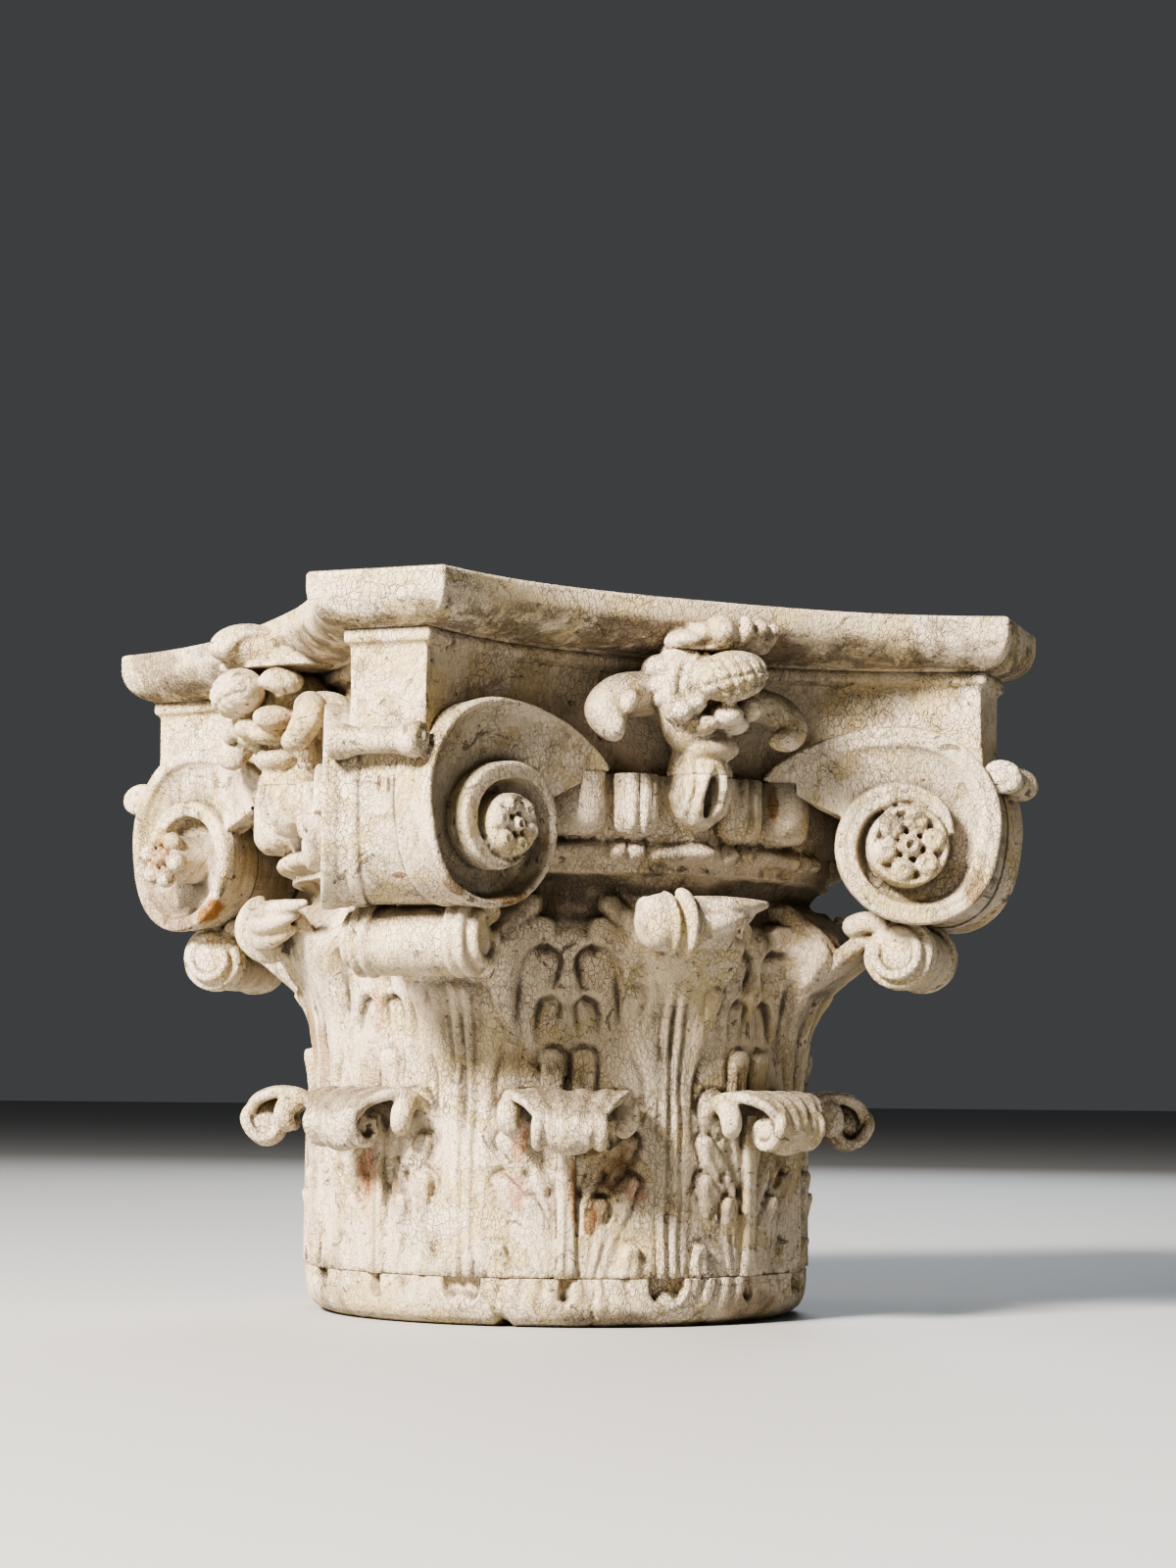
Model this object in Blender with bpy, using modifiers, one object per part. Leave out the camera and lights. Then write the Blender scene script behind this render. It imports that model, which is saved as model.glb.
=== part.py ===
"""Carved and painted wooden capital of the Composite order.

Frame: metres, +Z up, origin at the centre of the underside.
The four concave sides of the abacus look along +X, -X, +Y and -Y.
The four horns, each with its pair of spirals, lie on the diagonals.
"""
import math

import bmesh
import bpy
from mathutils import Matrix, Vector

# Driving heights, from the underside upwards
FOOT_SEAM_Z = 0.0217
LOWER_TIP_Z = 0.1045
BEAD_Z = 0.2112
ECHINUS_FOOT_Z = 0.2165
BELL_TOP_Z = 0.2448
BOARD_SEAM_Z = 0.2991
TOTAL_HEIGHT = 0.3229

# Driving radii and widths
FOOT_RADIUS = 0.1087
BELL_RADIUS = 0.1205
GROUND_RADIUS = 0.1165
HEART_RADIUS = 0.1120
ECHINUS_RADIUS = 0.1400
EGG_REACH = 0.1500
BEAD_REACH = 0.1385

# The joint left between touching pieces, and how far shapes run past a cut
GAP = 0.0003
SPARE = 0.0100
CUTTER_WIDTH = 0.6000

# Counts
SIDES = 4
LEAVES = 8
BELL_STEPS = 36
EGGS = (-2, -1, 1, 2)
EGG_PITCH = math.radians(10.4)
KEPT_SHARE = 0.75
SHARP_EDGE = math.radians(38)

# Worn foot: each chip as (angle from the middle of the -Y side, width)
CHIPS = ((math.radians(-36.5), 0.0050), (math.radians(28), 0.0060))
CHIP_REACH = 0.1165
CHIP_HEIGHT = 0.0140

# Abacus, as (reach of the horn face from the axis, width of the horn face, reach of the side's middle)
BOARD_TOP = (0.2287, 0.0636, 0.1555)
BOARD_FOOT = (0.2149, 0.0418, 0.1300)
BLOCK_FILLET = (0.2155, 0.0400, 0.1270)
BLOCK_NECK = (0.2128, 0.0360, 0.1225)
BLOCK_WAIST = (0.2125, 0.0350, 0.1205)
BLOCK_FOOT = (0.2145, 0.0370, 0.1210)
BOARD_FILLET = 0.0070
BLOCK_FILLET_HEIGHT = 0.0048
BLOCK_WAIST_Z = 0.2720
OVOLO_BENDS = (30, 58, 90)
BOARD_SIDE_STEPS = 8
BLOCK_SIDE_STEPS = 6
SIDE_BOW = 2.8

# Volutes: the eye, the slant of each spiral face and its depths
EYE_REACH = 0.1840
EYE_OFFSET = 0.0424
EYE_Z = 0.2170
FACE_SLANT = math.radians(24.3)
RIM_RAISE = 0.0060
RIM_DEPTH = 0.0095
RIM_PROUD = 0.0022
RIM_WIDTH = 0.0078
BOSS_RADIUS = 0.0165
BOSS_REACH = 0.0130
BOSS_BACK = -0.0140
BUTTON_RADIUS = 0.0060
BUTTON_REACH = 0.0165
PETALS = 6
PETAL_DIP = 0.0020
PETAL_WAIST = 0.94
SPIRAL_STEP = 27
EYE_TURN = 350
SPIRAL_OVERLAP = 0.0030

# The spool across each horn, as (offset to the side, radius)
ROLL_REACH = 0.2210
ROLL_Z = 0.2500
ROLL_SIDES = 6
ROLL = (
    (-0.0245, 0.0085), (-0.0170, 0.0098), (-0.0100, 0.0075),
    (0.0100, 0.0075), (0.0170, 0.0098), (0.0245, 0.0085),
)
VOLUTE_NAMES = ("volute_front_right", "volute_back_right", "volute_back_left", "volute_front_left")

# Radius of the spiral's outer line at each angle, clockwise from straight up, in degrees
SPIRAL_KNOTS = (
    (-65, 0.0740), (-50, 0.0660), (-30, 0.0587), (-10, 0.0555), (25, 0.0555), (57, 0.0495),
    (90, 0.0425), (130, 0.0405), (180, 0.0350), (225, 0.0332), (310, 0.0328), (360, 0.0285),
    (400, 0.0262), (430, 0.0235),
)
# Where the spiral's filled outline leaves its arm and runs back under the eggs, from the eye
ARM_FOOT = ((-0.0380, 0.0220), (-0.0600, 0.0260))

PAINT = (0.640, 0.585, 0.480, 1.0)
WORN_PAINT = (0.560, 0.500, 0.400, 1.0)


def material(name, colour):
    """Painted wood: matt, no metal."""
    made = bpy.data.materials.new(name)
    made.use_nodes = True
    shader = made.node_tree.nodes["Principled BSDF"]
    shader.inputs["Base Color"].default_value = colour
    shader.inputs["Roughness"].default_value = 0.8
    shader.inputs["Metallic"].default_value = 0.0
    return made


def collection(name):
    """A new collection in the scene."""
    made = bpy.data.collections.new(name)
    bpy.context.scene.collection.children.link(made)
    return made


def link_mesh(bm, name, where, finish=None):
    """Turn a bmesh into an object of the given collection."""
    mesh = bpy.data.meshes.new(name)
    bm.to_mesh(mesh)
    bm.free()
    mesh.shade_smooth()
    mesh.set_sharp_from_angle(angle=SHARP_EDGE)
    made = bpy.data.objects.new(name, mesh)
    where.objects.link(made)
    if finish:
        mesh.materials.append(finish)
    return made


def put(bm, name, where, finish=None):
    """Close the faces of a bmesh into outward triangles and make it an object."""
    bmesh.ops.triangulate(bm, faces=bm.faces)
    bmesh.ops.recalc_face_normals(bm, faces=bm.faces)
    return link_mesh(bm, name, where, finish)


def boolean(body, operation, tools, name):
    """Join tools to a body, or cut them out of it, as one group."""
    group = collection(name)
    for tool in tools:
        tool.hide_render = True
        tool.display_type = "WIRE"
        for old in list(tool.users_collection):
            old.objects.unlink(tool)
        group.objects.link(tool)
    step = body.modifiers.new(name, "BOOLEAN")
    step.operation = operation
    step.solver = "MANIFOLD"
    step.operand_type = "COLLECTION"
    step.collection = group


def thin_out(body):
    """Drop the slivers that joined carving leaves."""
    fewer = body.modifiers.new("fewer_triangles", "DECIMATE")
    fewer.decimate_type = "COLLAPSE"
    fewer.ratio = KEPT_SHARE
    fewer.use_collapse_triangulate = True


def loft(rings):
    """Skin rings of equal length, each a list of points, and close both ends."""
    bm = bmesh.new()
    rows = [[bm.verts.new(point) for point in ring] for ring in rings]
    for low, high in zip(rows, rows[1:]):
        for i in range(len(low)):
            j = (i + 1) % len(low)
            bm.faces.new((low[i], low[j], high[j], high[i]))
    bm.faces.new(rows[0])
    bm.faces.new(rows[-1])
    return bm


def turned(name, profile, steps, where, finish=None):
    """Turn a profile of (radius, height), listed from the top down, about the axis."""
    bm = bmesh.new()
    points = [bm.verts.new((radius, 0, height)) for radius, height in profile]
    for first, second in zip(points, points[1:]):
        bm.edges.new((first, second))
    made = link_mesh(bm, name, where, finish)
    screw = made.modifiers.new("turn", "SCREW")
    screw.steps = steps
    screw.render_steps = steps
    screw.use_merge_vertices = True
    screw.merge_threshold = 0.0001
    return made


def slab(name, low, high, where):
    """A wide flat block between two heights."""
    bm = bmesh.new()
    size = Matrix.Diagonal((CUTTER_WIDTH, CUTTER_WIDTH, high - low, 1))
    middle = Matrix.Translation((0, 0, (low + high) / 2))
    bmesh.ops.create_cube(bm, size=1, matrix=middle @ size)
    return put(bm, name, where)


def blob(name, centre, half_sizes, angle, where, levels=4):
    """A rounded lump, turned to face the given direction."""
    bm = bmesh.new()
    size = Matrix.Diagonal((*half_sizes, 1))
    place = Matrix.Translation(centre) @ Matrix.Rotation(angle, 4, "Z") @ size
    bmesh.ops.create_uvsphere(bm, u_segments=6, v_segments=levels, radius=1, matrix=place)
    return put(bm, name, where)


def across(angle, reach, offset, height):
    """A point by its reach along a direction, its offset to the side and its height.

    The direction is turned by angle from -Y towards +X.
    """
    out = Vector((math.sin(angle), -math.cos(angle), 0))
    side = Vector((math.cos(angle), math.sin(angle), 0))
    return out * reach + side * offset + Vector((0, 0, height))


def knot_value(knots, at):
    """Read a line of straight runs through knots."""
    for (a, low), (b, high) in zip(knots, knots[1:]):
        if at <= b:
            share = (at - a) / (b - a)
            return low + (high - low) * share
    return knots[-1][1]


# Leaves: each is a side outline of (reach, height, half width), swept across its width
LOWER_SIDE = (
    (HEART_RADIUS, 0.0150, 0.019), (BELL_RADIUS, 0.0150, 0.020), (BELL_RADIUS, 0.0300, 0.026),
    (BELL_RADIUS, 0.0370, 0.022), (BELL_RADIUS, 0.0500, 0.0285), (BELL_RADIUS, 0.0570, 0.024),
    (0.1215, 0.0710, 0.0290), (0.1280, 0.0840, 0.026), (0.1350, 0.0790, 0.017),
    (0.1450, 0.0785, 0.018), (0.1500, 0.0880, 0.023), (0.1470, 0.0985, 0.027),
    (0.1340, LOWER_TIP_Z, 0.030), (HEART_RADIUS, 0.1030, 0.028),
)
HORN_SIDE = (
    (HEART_RADIUS, 0.0150, 0.012), (BELL_RADIUS, 0.0150, 0.012), (BELL_RADIUS, 0.0950, 0.013),
    (0.1235, 0.1320, 0.020), (0.1330, 0.1525, 0.026), (0.1480, 0.1605, 0.026),
    (0.1640, 0.1555, 0.028), (0.1800, 0.1555, 0.030), (0.1895, 0.1650, 0.030),
    (0.1860, 0.1785, 0.028), (0.1720, 0.1817, 0.027), (0.1520, 0.1817, 0.029),
    (0.1480, 0.1940, 0.029), (HEART_RADIUS, 0.1970, 0.027),
)
FACE_SIDE = (
    (HEART_RADIUS, 0.0150, 0.013), (BELL_RADIUS, 0.0150, 0.013), (BELL_RADIUS, 0.0950, 0.014),
    (0.1225, 0.1350, 0.020), (0.1300, 0.1560, 0.026), (0.1400, 0.1640, 0.026),
    (0.1510, 0.1630, 0.027), (0.1585, 0.1720, 0.031), (0.1570, 0.1840, 0.033),
    (0.1440, 0.1915, 0.031), (HEART_RADIUS, 0.1900, 0.025),
)
# Across a leaf: (share of the half width, drop of the surface there)
LEAF_ACROSS = ((-1.0, 0.0026), (-0.45, 0.0018), (0.0, 0.0), (0.45, 0.0018), (1.0, 0.0026))
STEM_ACROSS = ((-1.0, 0.0026), (-0.55, 0.0), (0.0, 0.0030), (0.55, 0.0), (1.0, 0.0026))


def leaf(name, angle, side, stations, where):
    """Sweep a leaf's side outline across its width, bowed round the bell."""
    rings = []
    for share, drop in stations:
        ring = []
        for reach, height, half in side:
            offset = share * half
            bow = offset * offset / (2 * BELL_RADIUS)
            carve = drop if reach > GROUND_RADIUS else 0.0
            ring.append(across(angle, reach - bow - carve, offset, height))
        rings.append(ring)
    return put(loft(rings), name, where)


# The tall tongues between the stems, as (reach, height, half width)
TONGUE_SIDE = (
    (HEART_RADIUS, 0.1000, 0.0075), (0.1187, 0.1000, 0.0075), (0.1197, 0.1560, 0.0085),
    (0.1187, 0.1640, 0.0055), (0.1155, 0.1680, 0.0025), (HEART_RADIUS, 0.1680, 0.0025),
)
TONGUE_ACROSS = ((-1.0, 0.0015), (0.0, 0.0), (1.0, 0.0015))
TONGUE_OFFSET = 0.0095
FLARE_FOOT_Z = 0.1250
FLARE_RISE = 0.0500
FLARE = 0.0100


def tongue(name, angle, hand, where):
    """A round-topped tongue beside a stem, leaning out as the bell flares."""
    rings = []
    for share, drop in TONGUE_ACROSS:
        ring = []
        for reach, height, half in TONGUE_SIDE:
            offset = hand * TONGUE_OFFSET + share * half
            bow = offset * offset / (2 * BELL_RADIUS)
            rise = max(0.0, (height - FLARE_FOOT_Z) / FLARE_RISE)
            flare = FLARE * rise * rise if reach > HEART_RADIUS else 0.0
            ring.append(across(angle, reach + flare - drop - bow, offset, height))
        rings.append(ring)
    return put(loft(rings), name, where)


# The flower on each side, as lumps of (name, (offset, reach, height), half sizes)
CALYX = (
    ("calyx", (0, 0.1430, 0.2840), (0.0210, 0.0290, 0.0170)),
    ("seed_head", (0, 0.1715, 0.2862), (0.0160, 0.0125, 0.0120)),
    ("petal_left", (-0.0140, 0.1600, 0.2740), (0.0070, 0.0080, 0.0075)),
    ("petal_right", (0.0120, 0.1610, 0.2730), (0.0070, 0.0080, 0.0075)),
)
HUSK = (
    ("husk", (0, 0.1370, 0.2410), (0.0165, 0.0220, 0.0260)),
)
CROWN = (
    ("crown", (0, 0.1500, 0.3010), (0.0240, 0.0240, 0.0105)),
    ("crown_lobe_left", (-0.0120, 0.1690, 0.3040), (0.0080, 0.0080, 0.0075)),
    ("crown_lobe_right", (0.0110, 0.1690, 0.3050), (0.0080, 0.0080, 0.0085)),
)
# The curled shoot beside the flower, as (offset, reach, height, thickness)
HOOK = (
    (0.0080, 0.1470, 0.2830, 0.0080), (0.0260, 0.1480, 0.2850, 0.0088),
    (0.0410, 0.1500, 0.2800, 0.0095), (0.0470, 0.1520, 0.2690, 0.0090),
    (0.0390, 0.1530, 0.2600, 0.0055),
)


def flower_parts(side, lumps, where):
    """Lumps of the flower on one side, to be joined to what carries them."""
    angle = side * math.pi / 2
    made = []
    for name, (offset, reach, height), half_sizes in lumps:
        centre = across(angle, reach, offset, height)
        made.append(blob(f"{name}_{side}", centre, half_sizes, angle, where))
    return made


def tendril(name, side, hand, where):
    """A curled shoot beside the flower: a tapered tube along a hook."""
    angle = side * math.pi / 2
    line = bpy.data.curves.new(name, "CURVE")
    line.dimensions = "3D"
    spline = line.splines.new("POLY")
    spline.points.add(len(HOOK) - 1)
    for point, (offset, reach, height, thickness) in zip(spline.points, HOOK):
        point.co = (*across(angle, reach, hand * offset, height), 1)
        point.radius = thickness
    line.bevel_depth = 1.0
    line.bevel_resolution = 1
    line.use_fill_caps = True
    drawn = bpy.data.objects.new(name, line)
    where.objects.link(drawn)
    return mesh_of_curve(drawn, where)


def mesh_of_curve(drawn, where):
    """Swap a curve object for a closed mesh with the same name."""
    name = drawn.name
    bpy.context.view_layer.update()
    solid = drawn.evaluated_get(bpy.context.evaluated_depsgraph_get())
    mesh = bpy.data.meshes.new_from_object(solid)
    bm = bmesh.new()
    bm.from_mesh(mesh)
    bmesh.ops.remove_doubles(bm, verts=bm.verts, dist=0.00001)
    bpy.data.objects.remove(drawn)
    bpy.data.meshes.remove(mesh)
    return put(bm, name, where)


def foot_board(where, finish):
    """The round board under the bell, with its lower edge worn round and chipped."""
    profile = [(0, FOOT_SEAM_Z), (BELL_RADIUS, FOOT_SEAM_Z), (0.1195, 0.0110), (0.1165, 0.0040),
               (FOOT_RADIUS, 0), (0, 0)]
    board = turned("foot_board", profile, BELL_STEPS, where, finish)
    chips = []
    for number, (angle, width) in enumerate(CHIPS):
        bm = bmesh.new()
        place = Matrix.Translation(across(angle, CHIP_REACH, 0, 0)) @ Matrix.Rotation(angle, 4, "Z")
        bmesh.ops.create_cone(bm, cap_ends=True, segments=4, radius1=width, radius2=width / 10,
                              depth=CHIP_HEIGHT, matrix=place)
        chips.append(put(bm, f"chip_{number}", where))
    boolean(board, "DIFFERENCE", chips, "foot_board_cutters")
    return board


# The plain bell behind the carving, from the top down
BELL_PROFILE = (
    (0, BELL_TOP_Z + SPARE), (ECHINUS_RADIUS, BELL_TOP_Z + SPARE), (ECHINUS_RADIUS, 0.2320),
    (0.1340, ECHINUS_FOOT_Z), (BEAD_REACH, BEAD_Z), (0.1320, 0.2065), (0.1320, 0.2020),
    (0.1250, 0.1960), (0.1240, 0.1800), (0.1185, 0.1600), (GROUND_RADIUS, 0.1350),
    (GROUND_RADIUS, FOOT_SEAM_Z - SPARE), (0, FOOT_SEAM_Z - SPARE),
)
EGG_CENTRE = (0.1380, 0.2400)
EGG_HALF_SIZES = (0.0120, 0.0120, 0.0235)


def leaves(where):
    """Both tiers of leaves: the upper ones stand over the gaps of the lower ones."""
    made = []
    for number in range(LEAVES):
        stem = number * math.pi / 4
        gap = stem + math.pi / 8
        made.append(leaf(f"lower_leaf_{number}", gap, LOWER_SIDE, LEAF_ACROSS, where))
        side = HORN_SIDE if number % 2 else FACE_SIDE
        made.append(leaf(f"upper_leaf_{number}", stem, side, STEM_ACROSS, where))
        for hand in (-1, 1):
            made.append(tongue(f"tongue_{number}_{hand}", gap, hand, where))
    return made


def eggs(where):
    """The row of eggs above the beads; the flower's husk hides the middle one of each side."""
    reach, height = EGG_CENTRE
    made = []
    for side in range(SIDES):
        for step in EGGS:
            angle = side * math.pi / 2 + step * EGG_PITCH
            centre = across(angle, reach, 0, height)
            made.append(blob(f"egg_{side}_{step}", centre, EGG_HALF_SIZES, angle, where, 5))
    return made


def bell(where, finish):
    """The bell with both tiers of leaves, the bead moulding and the eggs."""
    core = turned("bell", BELL_PROFILE, BELL_STEPS, where, finish)
    carved = leaves(where) + eggs(where)
    for side in range(SIDES):
        carved += flower_parts(side, HUSK, where)
    boolean(core, "UNION", carved, "bell_carving")
    ends = [slab("bell_head_cutter", BELL_TOP_Z, TOTAL_HEIGHT, where),
            slab("bell_foot_cutter", -SPARE, FOOT_SEAM_Z + GAP, where)]
    boolean(core, "DIFFERENCE", ends, "bell_cutters")
    thin_out(core)
    return core


def side_line(shape, steps):
    """The concave line of one side, from horn to horn, seen from above."""
    reach, width, middle = shape
    half = (reach - width / 2) * math.sqrt(0.5)
    corner = (reach + width / 2) * math.sqrt(0.5)
    line = []
    for step in range(steps + 1):
        share = 2 * step / steps - 1
        out = middle + (corner - middle) * abs(share) ** SIDE_BOW
        line.append(Vector((share * half, -out, 0)))
    return line


def abacus_ring(shape, height, steps):
    """One level of the abacus: four concave sides joined by the four horn faces."""
    ring = []
    for side in range(SIDES):
        turn = Matrix.Rotation(side * math.pi / 2, 4, "Z")
        ring += [turn @ point + Vector((0, 0, height)) for point in side_line(shape, steps)]
    return ring


def between(first, second, share):
    """A shape part of the way from the first to the second."""
    return tuple(a + (b - a) * share for a, b in zip(first, second))


def grown(shape, by):
    """The same outline moved outwards all round."""
    reach, width, middle = shape
    return (reach + by, width + 2 * by * (math.sqrt(2) - 1), middle + by)


def block_levels(by, past):
    """The levels of the abacus block, grown all round and run past both its seams."""
    fillet_z = BOARD_SEAM_Z - BLOCK_FILLET_HEIGHT
    levels = ((BLOCK_FOOT, BELL_TOP_Z - past), (BLOCK_WAIST, BLOCK_WAIST_Z),
              (BLOCK_NECK, fillet_z - 2 * GAP), (BLOCK_FILLET, fillet_z),
              (BLOCK_FILLET, BOARD_SEAM_Z + past))
    return [abacus_ring(grown(shape, by), height, BLOCK_SIDE_STEPS) for shape, height in levels]


def abacus_block(where, finish):
    """The tall lower block of the abacus with the lower part of each flower."""
    block = put(loft(block_levels(0, SPARE)), "abacus_block", where, finish)
    carved = []
    for side in range(SIDES):
        carved += flower_parts(side, CALYX + HUSK, where)
        for hand in (-1, 1):
            carved.append(tendril(f"tendril_{side}_{hand}", side, hand, where))
    boolean(block, "UNION", carved, "abacus_block_carving")
    ends = [slab("block_foot_cutter", 0, BELL_TOP_Z + GAP, where),
            slab("block_head_cutter", BOARD_SEAM_Z, TOTAL_HEIGHT + SPARE, where)]
    boolean(block, "DIFFERENCE", ends, "abacus_block_cutters")
    thin_out(block)
    return block


def abacus_board(where, finish):
    """The top board: an ovolo under a plain upright edge, with the crown of each flower."""
    foot_z = BOARD_SEAM_Z + GAP
    edge_z = TOTAL_HEIGHT - BOARD_FILLET
    levels = [(BOARD_FOOT, foot_z - SPARE), (BOARD_FOOT, foot_z + 2 * GAP)]
    for degrees in OVOLO_BENDS:
        bend = math.radians(degrees)
        height = foot_z + (edge_z - foot_z) * (1 - math.cos(bend))
        levels.append((between(BOARD_FOOT, BOARD_TOP, math.sin(bend)), height))
    levels.append((BOARD_TOP, TOTAL_HEIGHT))
    rings = [abacus_ring(shape, height, BOARD_SIDE_STEPS) for shape, height in levels]
    board = put(loft(rings), "abacus_board", where, finish)
    carved = []
    for side in range(SIDES):
        carved += flower_parts(side, CROWN, where)
    boolean(board, "UNION", carved, "abacus_board_carving")
    ends = [slab("board_foot_cutter", 0, foot_z, where)]
    boolean(board, "DIFFERENCE", ends, "abacus_board_cutters")
    thin_out(board)
    return board


def face_point(horn_angle, hand, a, b, h):
    """A point on one spiral face of a horn.

    a runs along the face towards the horn, b upwards from the eye, h out of the face.
    hand tells which of the horn's two faces it is.
    """
    reach = EYE_REACH + a * math.cos(FACE_SLANT) + h * math.sin(FACE_SLANT)
    offset = EYE_OFFSET - a * math.sin(FACE_SLANT) + h * math.cos(FACE_SLANT)
    return across(horn_angle, reach, hand * offset, EYE_Z + b)


def polar(degrees, radius):
    """The a and b of a point on a spiral face, clockwise from straight up."""
    turn = math.radians(degrees)
    return radius * math.sin(turn), radius * math.cos(turn)


def volute_outline():
    """The filled outline of the spiral: its first turn and the arm towards the flower."""
    line = []
    for degrees in range(-58, 314, SPIRAL_STEP):
        line.append(polar(degrees, knot_value(SPIRAL_KNOTS, degrees) - RIM_PROUD))
    return line + list(ARM_FOOT)


def volute_body(horn_angle, name, where, finish):
    """The block of wood between the two spiral faces of a horn."""
    rings = []
    for hand in (-1, 1):
        rings.append([face_point(horn_angle, hand, a, b, -RIM_RAISE) for a, b in volute_outline()])
    return put(loft(rings), name, where, finish)


def volute_rim(horn_angle, hand, name, where):
    """The raised band that winds in to the eye."""
    rings = []
    for degrees in range(-66, 421, SPIRAL_STEP):
        outer = knot_value(SPIRAL_KNOTS, degrees)
        inner = outer - RIM_WIDTH if degrees < EYE_TURN else BOSS_RADIUS - SPIRAL_OVERLAP
        corners = ((outer, -RIM_DEPTH), (outer, 0), (inner, 0), (inner, -RIM_DEPTH))
        rings.append([face_point(horn_angle, hand, *polar(degrees, radius), h) for radius, h in corners])
    return put(loft(rings), name, where)


def rosette(horn_angle, hand, name, where):
    """The eye: a round boss with six petals and a button."""
    count = 2 * PETALS
    levels = ((BOSS_RADIUS, BOSS_BACK, 0.0, 1.0), (BOSS_RADIUS, BOSS_REACH, PETAL_DIP, PETAL_WAIST),
              (BUTTON_RADIUS, BUTTON_REACH, PETAL_DIP / 2, PETAL_WAIST))
    rings = []
    for radius, height, dip, waist in levels:
        ring = []
        for step in range(count):
            drop, share = (dip, waist) if step % 2 else (0.0, 1.0)
            a, b = polar(360 * step / count, radius * share)
            ring.append(face_point(horn_angle, hand, a, b, height - drop))
        rings.append(ring)
    return put(loft(rings), name, where)


def corner_roll(horn_angle, name, where):
    """The spool that lies across the horn on top of the volute."""
    rings = []
    for offset, radius in ROLL:
        ring = []
        for step in range(ROLL_SIDES):
            out, up = polar(90 - 360 * step / ROLL_SIDES, radius)
            ring.append(across(horn_angle, ROLL_REACH + out, offset, ROLL_Z + up))
        rings.append(ring)
    return put(loft(rings), name, where)


def volute(number, where, finish):
    """One corner: two spirals back to back, fitted round the abacus block and the bell."""
    horn_angle = math.pi / 4 + number * math.pi / 2
    body = volute_body(horn_angle, VOLUTE_NAMES[number], where, finish)
    carved = [corner_roll(horn_angle, f"roll_{number}", where)]
    for hand in (-1, 1):
        carved.append(volute_rim(horn_angle, hand, f"rim_{number}_{hand}", where))
        carved.append(rosette(horn_angle, hand, f"rosette_{number}_{hand}", where))
    boolean(body, "UNION", carved, f"volute_{number}_carving")
    seat = put(loft(block_levels(GAP, GAP)), f"block_seat_{number}", where)
    reach, top, foot = EGG_REACH + GAP, BELL_TOP_Z + GAP, ECHINUS_FOOT_Z - 2 * GAP
    ring = turned(f"bell_seat_{number}", ((0, top), (reach, top), (reach, foot), (0, foot)),
                  BELL_STEPS, where)
    boolean(body, "DIFFERENCE", [seat, ring], f"volute_{number}_cutters")
    return body


def clear_scene():
    """Start from an empty scene."""
    for old in list(bpy.data.objects):
        bpy.data.objects.remove(old)


def main():
    """Build every piece of the capital."""
    clear_scene()
    capital = collection("composite_capital")
    paint = material("ivory_paint", PAINT)
    worn = material("worn_paint", WORN_PAINT)
    foot_board(capital, worn)
    bell(capital, paint)
    abacus_block(capital, paint)
    abacus_board(capital, worn)
    for number in range(SIDES):
        volute(number, capital, paint)


main()
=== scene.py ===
"""Carved and painted wooden capital of the Composite order: its looks.

Lengths are metres in the part's own frame, +Z up, unless a name ends in _mm.
The horns lie on the diagonals, and the concave sides look along the axes.
"""
import math

import bmesh
import bpy
import numpy as np
from bpy.props import FloatProperty, FloatVectorProperty, PointerProperty
from bpy.types import Operator, Panel, PropertyGroup
from mathutils import Matrix, Vector


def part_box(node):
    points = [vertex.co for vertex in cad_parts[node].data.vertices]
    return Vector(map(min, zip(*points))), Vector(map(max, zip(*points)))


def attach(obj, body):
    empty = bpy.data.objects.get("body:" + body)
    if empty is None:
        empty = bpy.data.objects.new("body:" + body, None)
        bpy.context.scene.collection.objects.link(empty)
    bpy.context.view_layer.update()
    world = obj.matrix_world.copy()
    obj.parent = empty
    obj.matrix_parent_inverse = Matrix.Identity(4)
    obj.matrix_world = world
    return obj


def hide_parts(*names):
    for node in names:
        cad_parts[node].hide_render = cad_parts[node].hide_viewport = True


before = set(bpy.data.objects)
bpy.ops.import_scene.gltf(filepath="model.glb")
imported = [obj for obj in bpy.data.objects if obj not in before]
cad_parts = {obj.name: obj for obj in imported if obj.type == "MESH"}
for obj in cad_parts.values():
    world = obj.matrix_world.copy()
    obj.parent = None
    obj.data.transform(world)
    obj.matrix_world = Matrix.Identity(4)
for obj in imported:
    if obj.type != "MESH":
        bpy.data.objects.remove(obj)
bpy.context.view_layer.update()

bl_info = {
    "name": "Carved capital",
    "version": (1, 0, 0),
    "blender": (4, 5, 0),
    "location": "3D View > Sidebar > Capital",
    "description": "Carves and paints a wooden capital of the Composite order",
    "category": "Add Mesh",
}

MM = 0.001
SIDES = 4
HORNS = (
    ("volute_front_left", -135.0), ("volute_front_right", -45.0),
    ("volute_back_right", 45.0), ("volute_back_left", 135.0),
)

# Seams between the pieces, read from the frame
FOOT_SEAM_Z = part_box("foot_board")[1][2]
BELL_FOOT_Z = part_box("bell")[0][2]
BELL_TOP_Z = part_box("bell")[1][2]
BLOCK_FOOT_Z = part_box("abacus_block")[0][2]
BLOCK_TOP_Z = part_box("abacus_block")[1][2]
BOARD_FOOT_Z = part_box("abacus_board")[0][2]
TOTAL_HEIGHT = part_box("abacus_board")[1][2]
SEAM_OVERLAP = 0.0001
# How far a skin runs on past the plane that cuts it
CUT_MARGIN = 0.004

# Directions that the spokes of a tube are counted from
FRONT = (0, -1, 0)
SIDEWAYS = (1, 0, 0)


# Points and profiles

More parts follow.
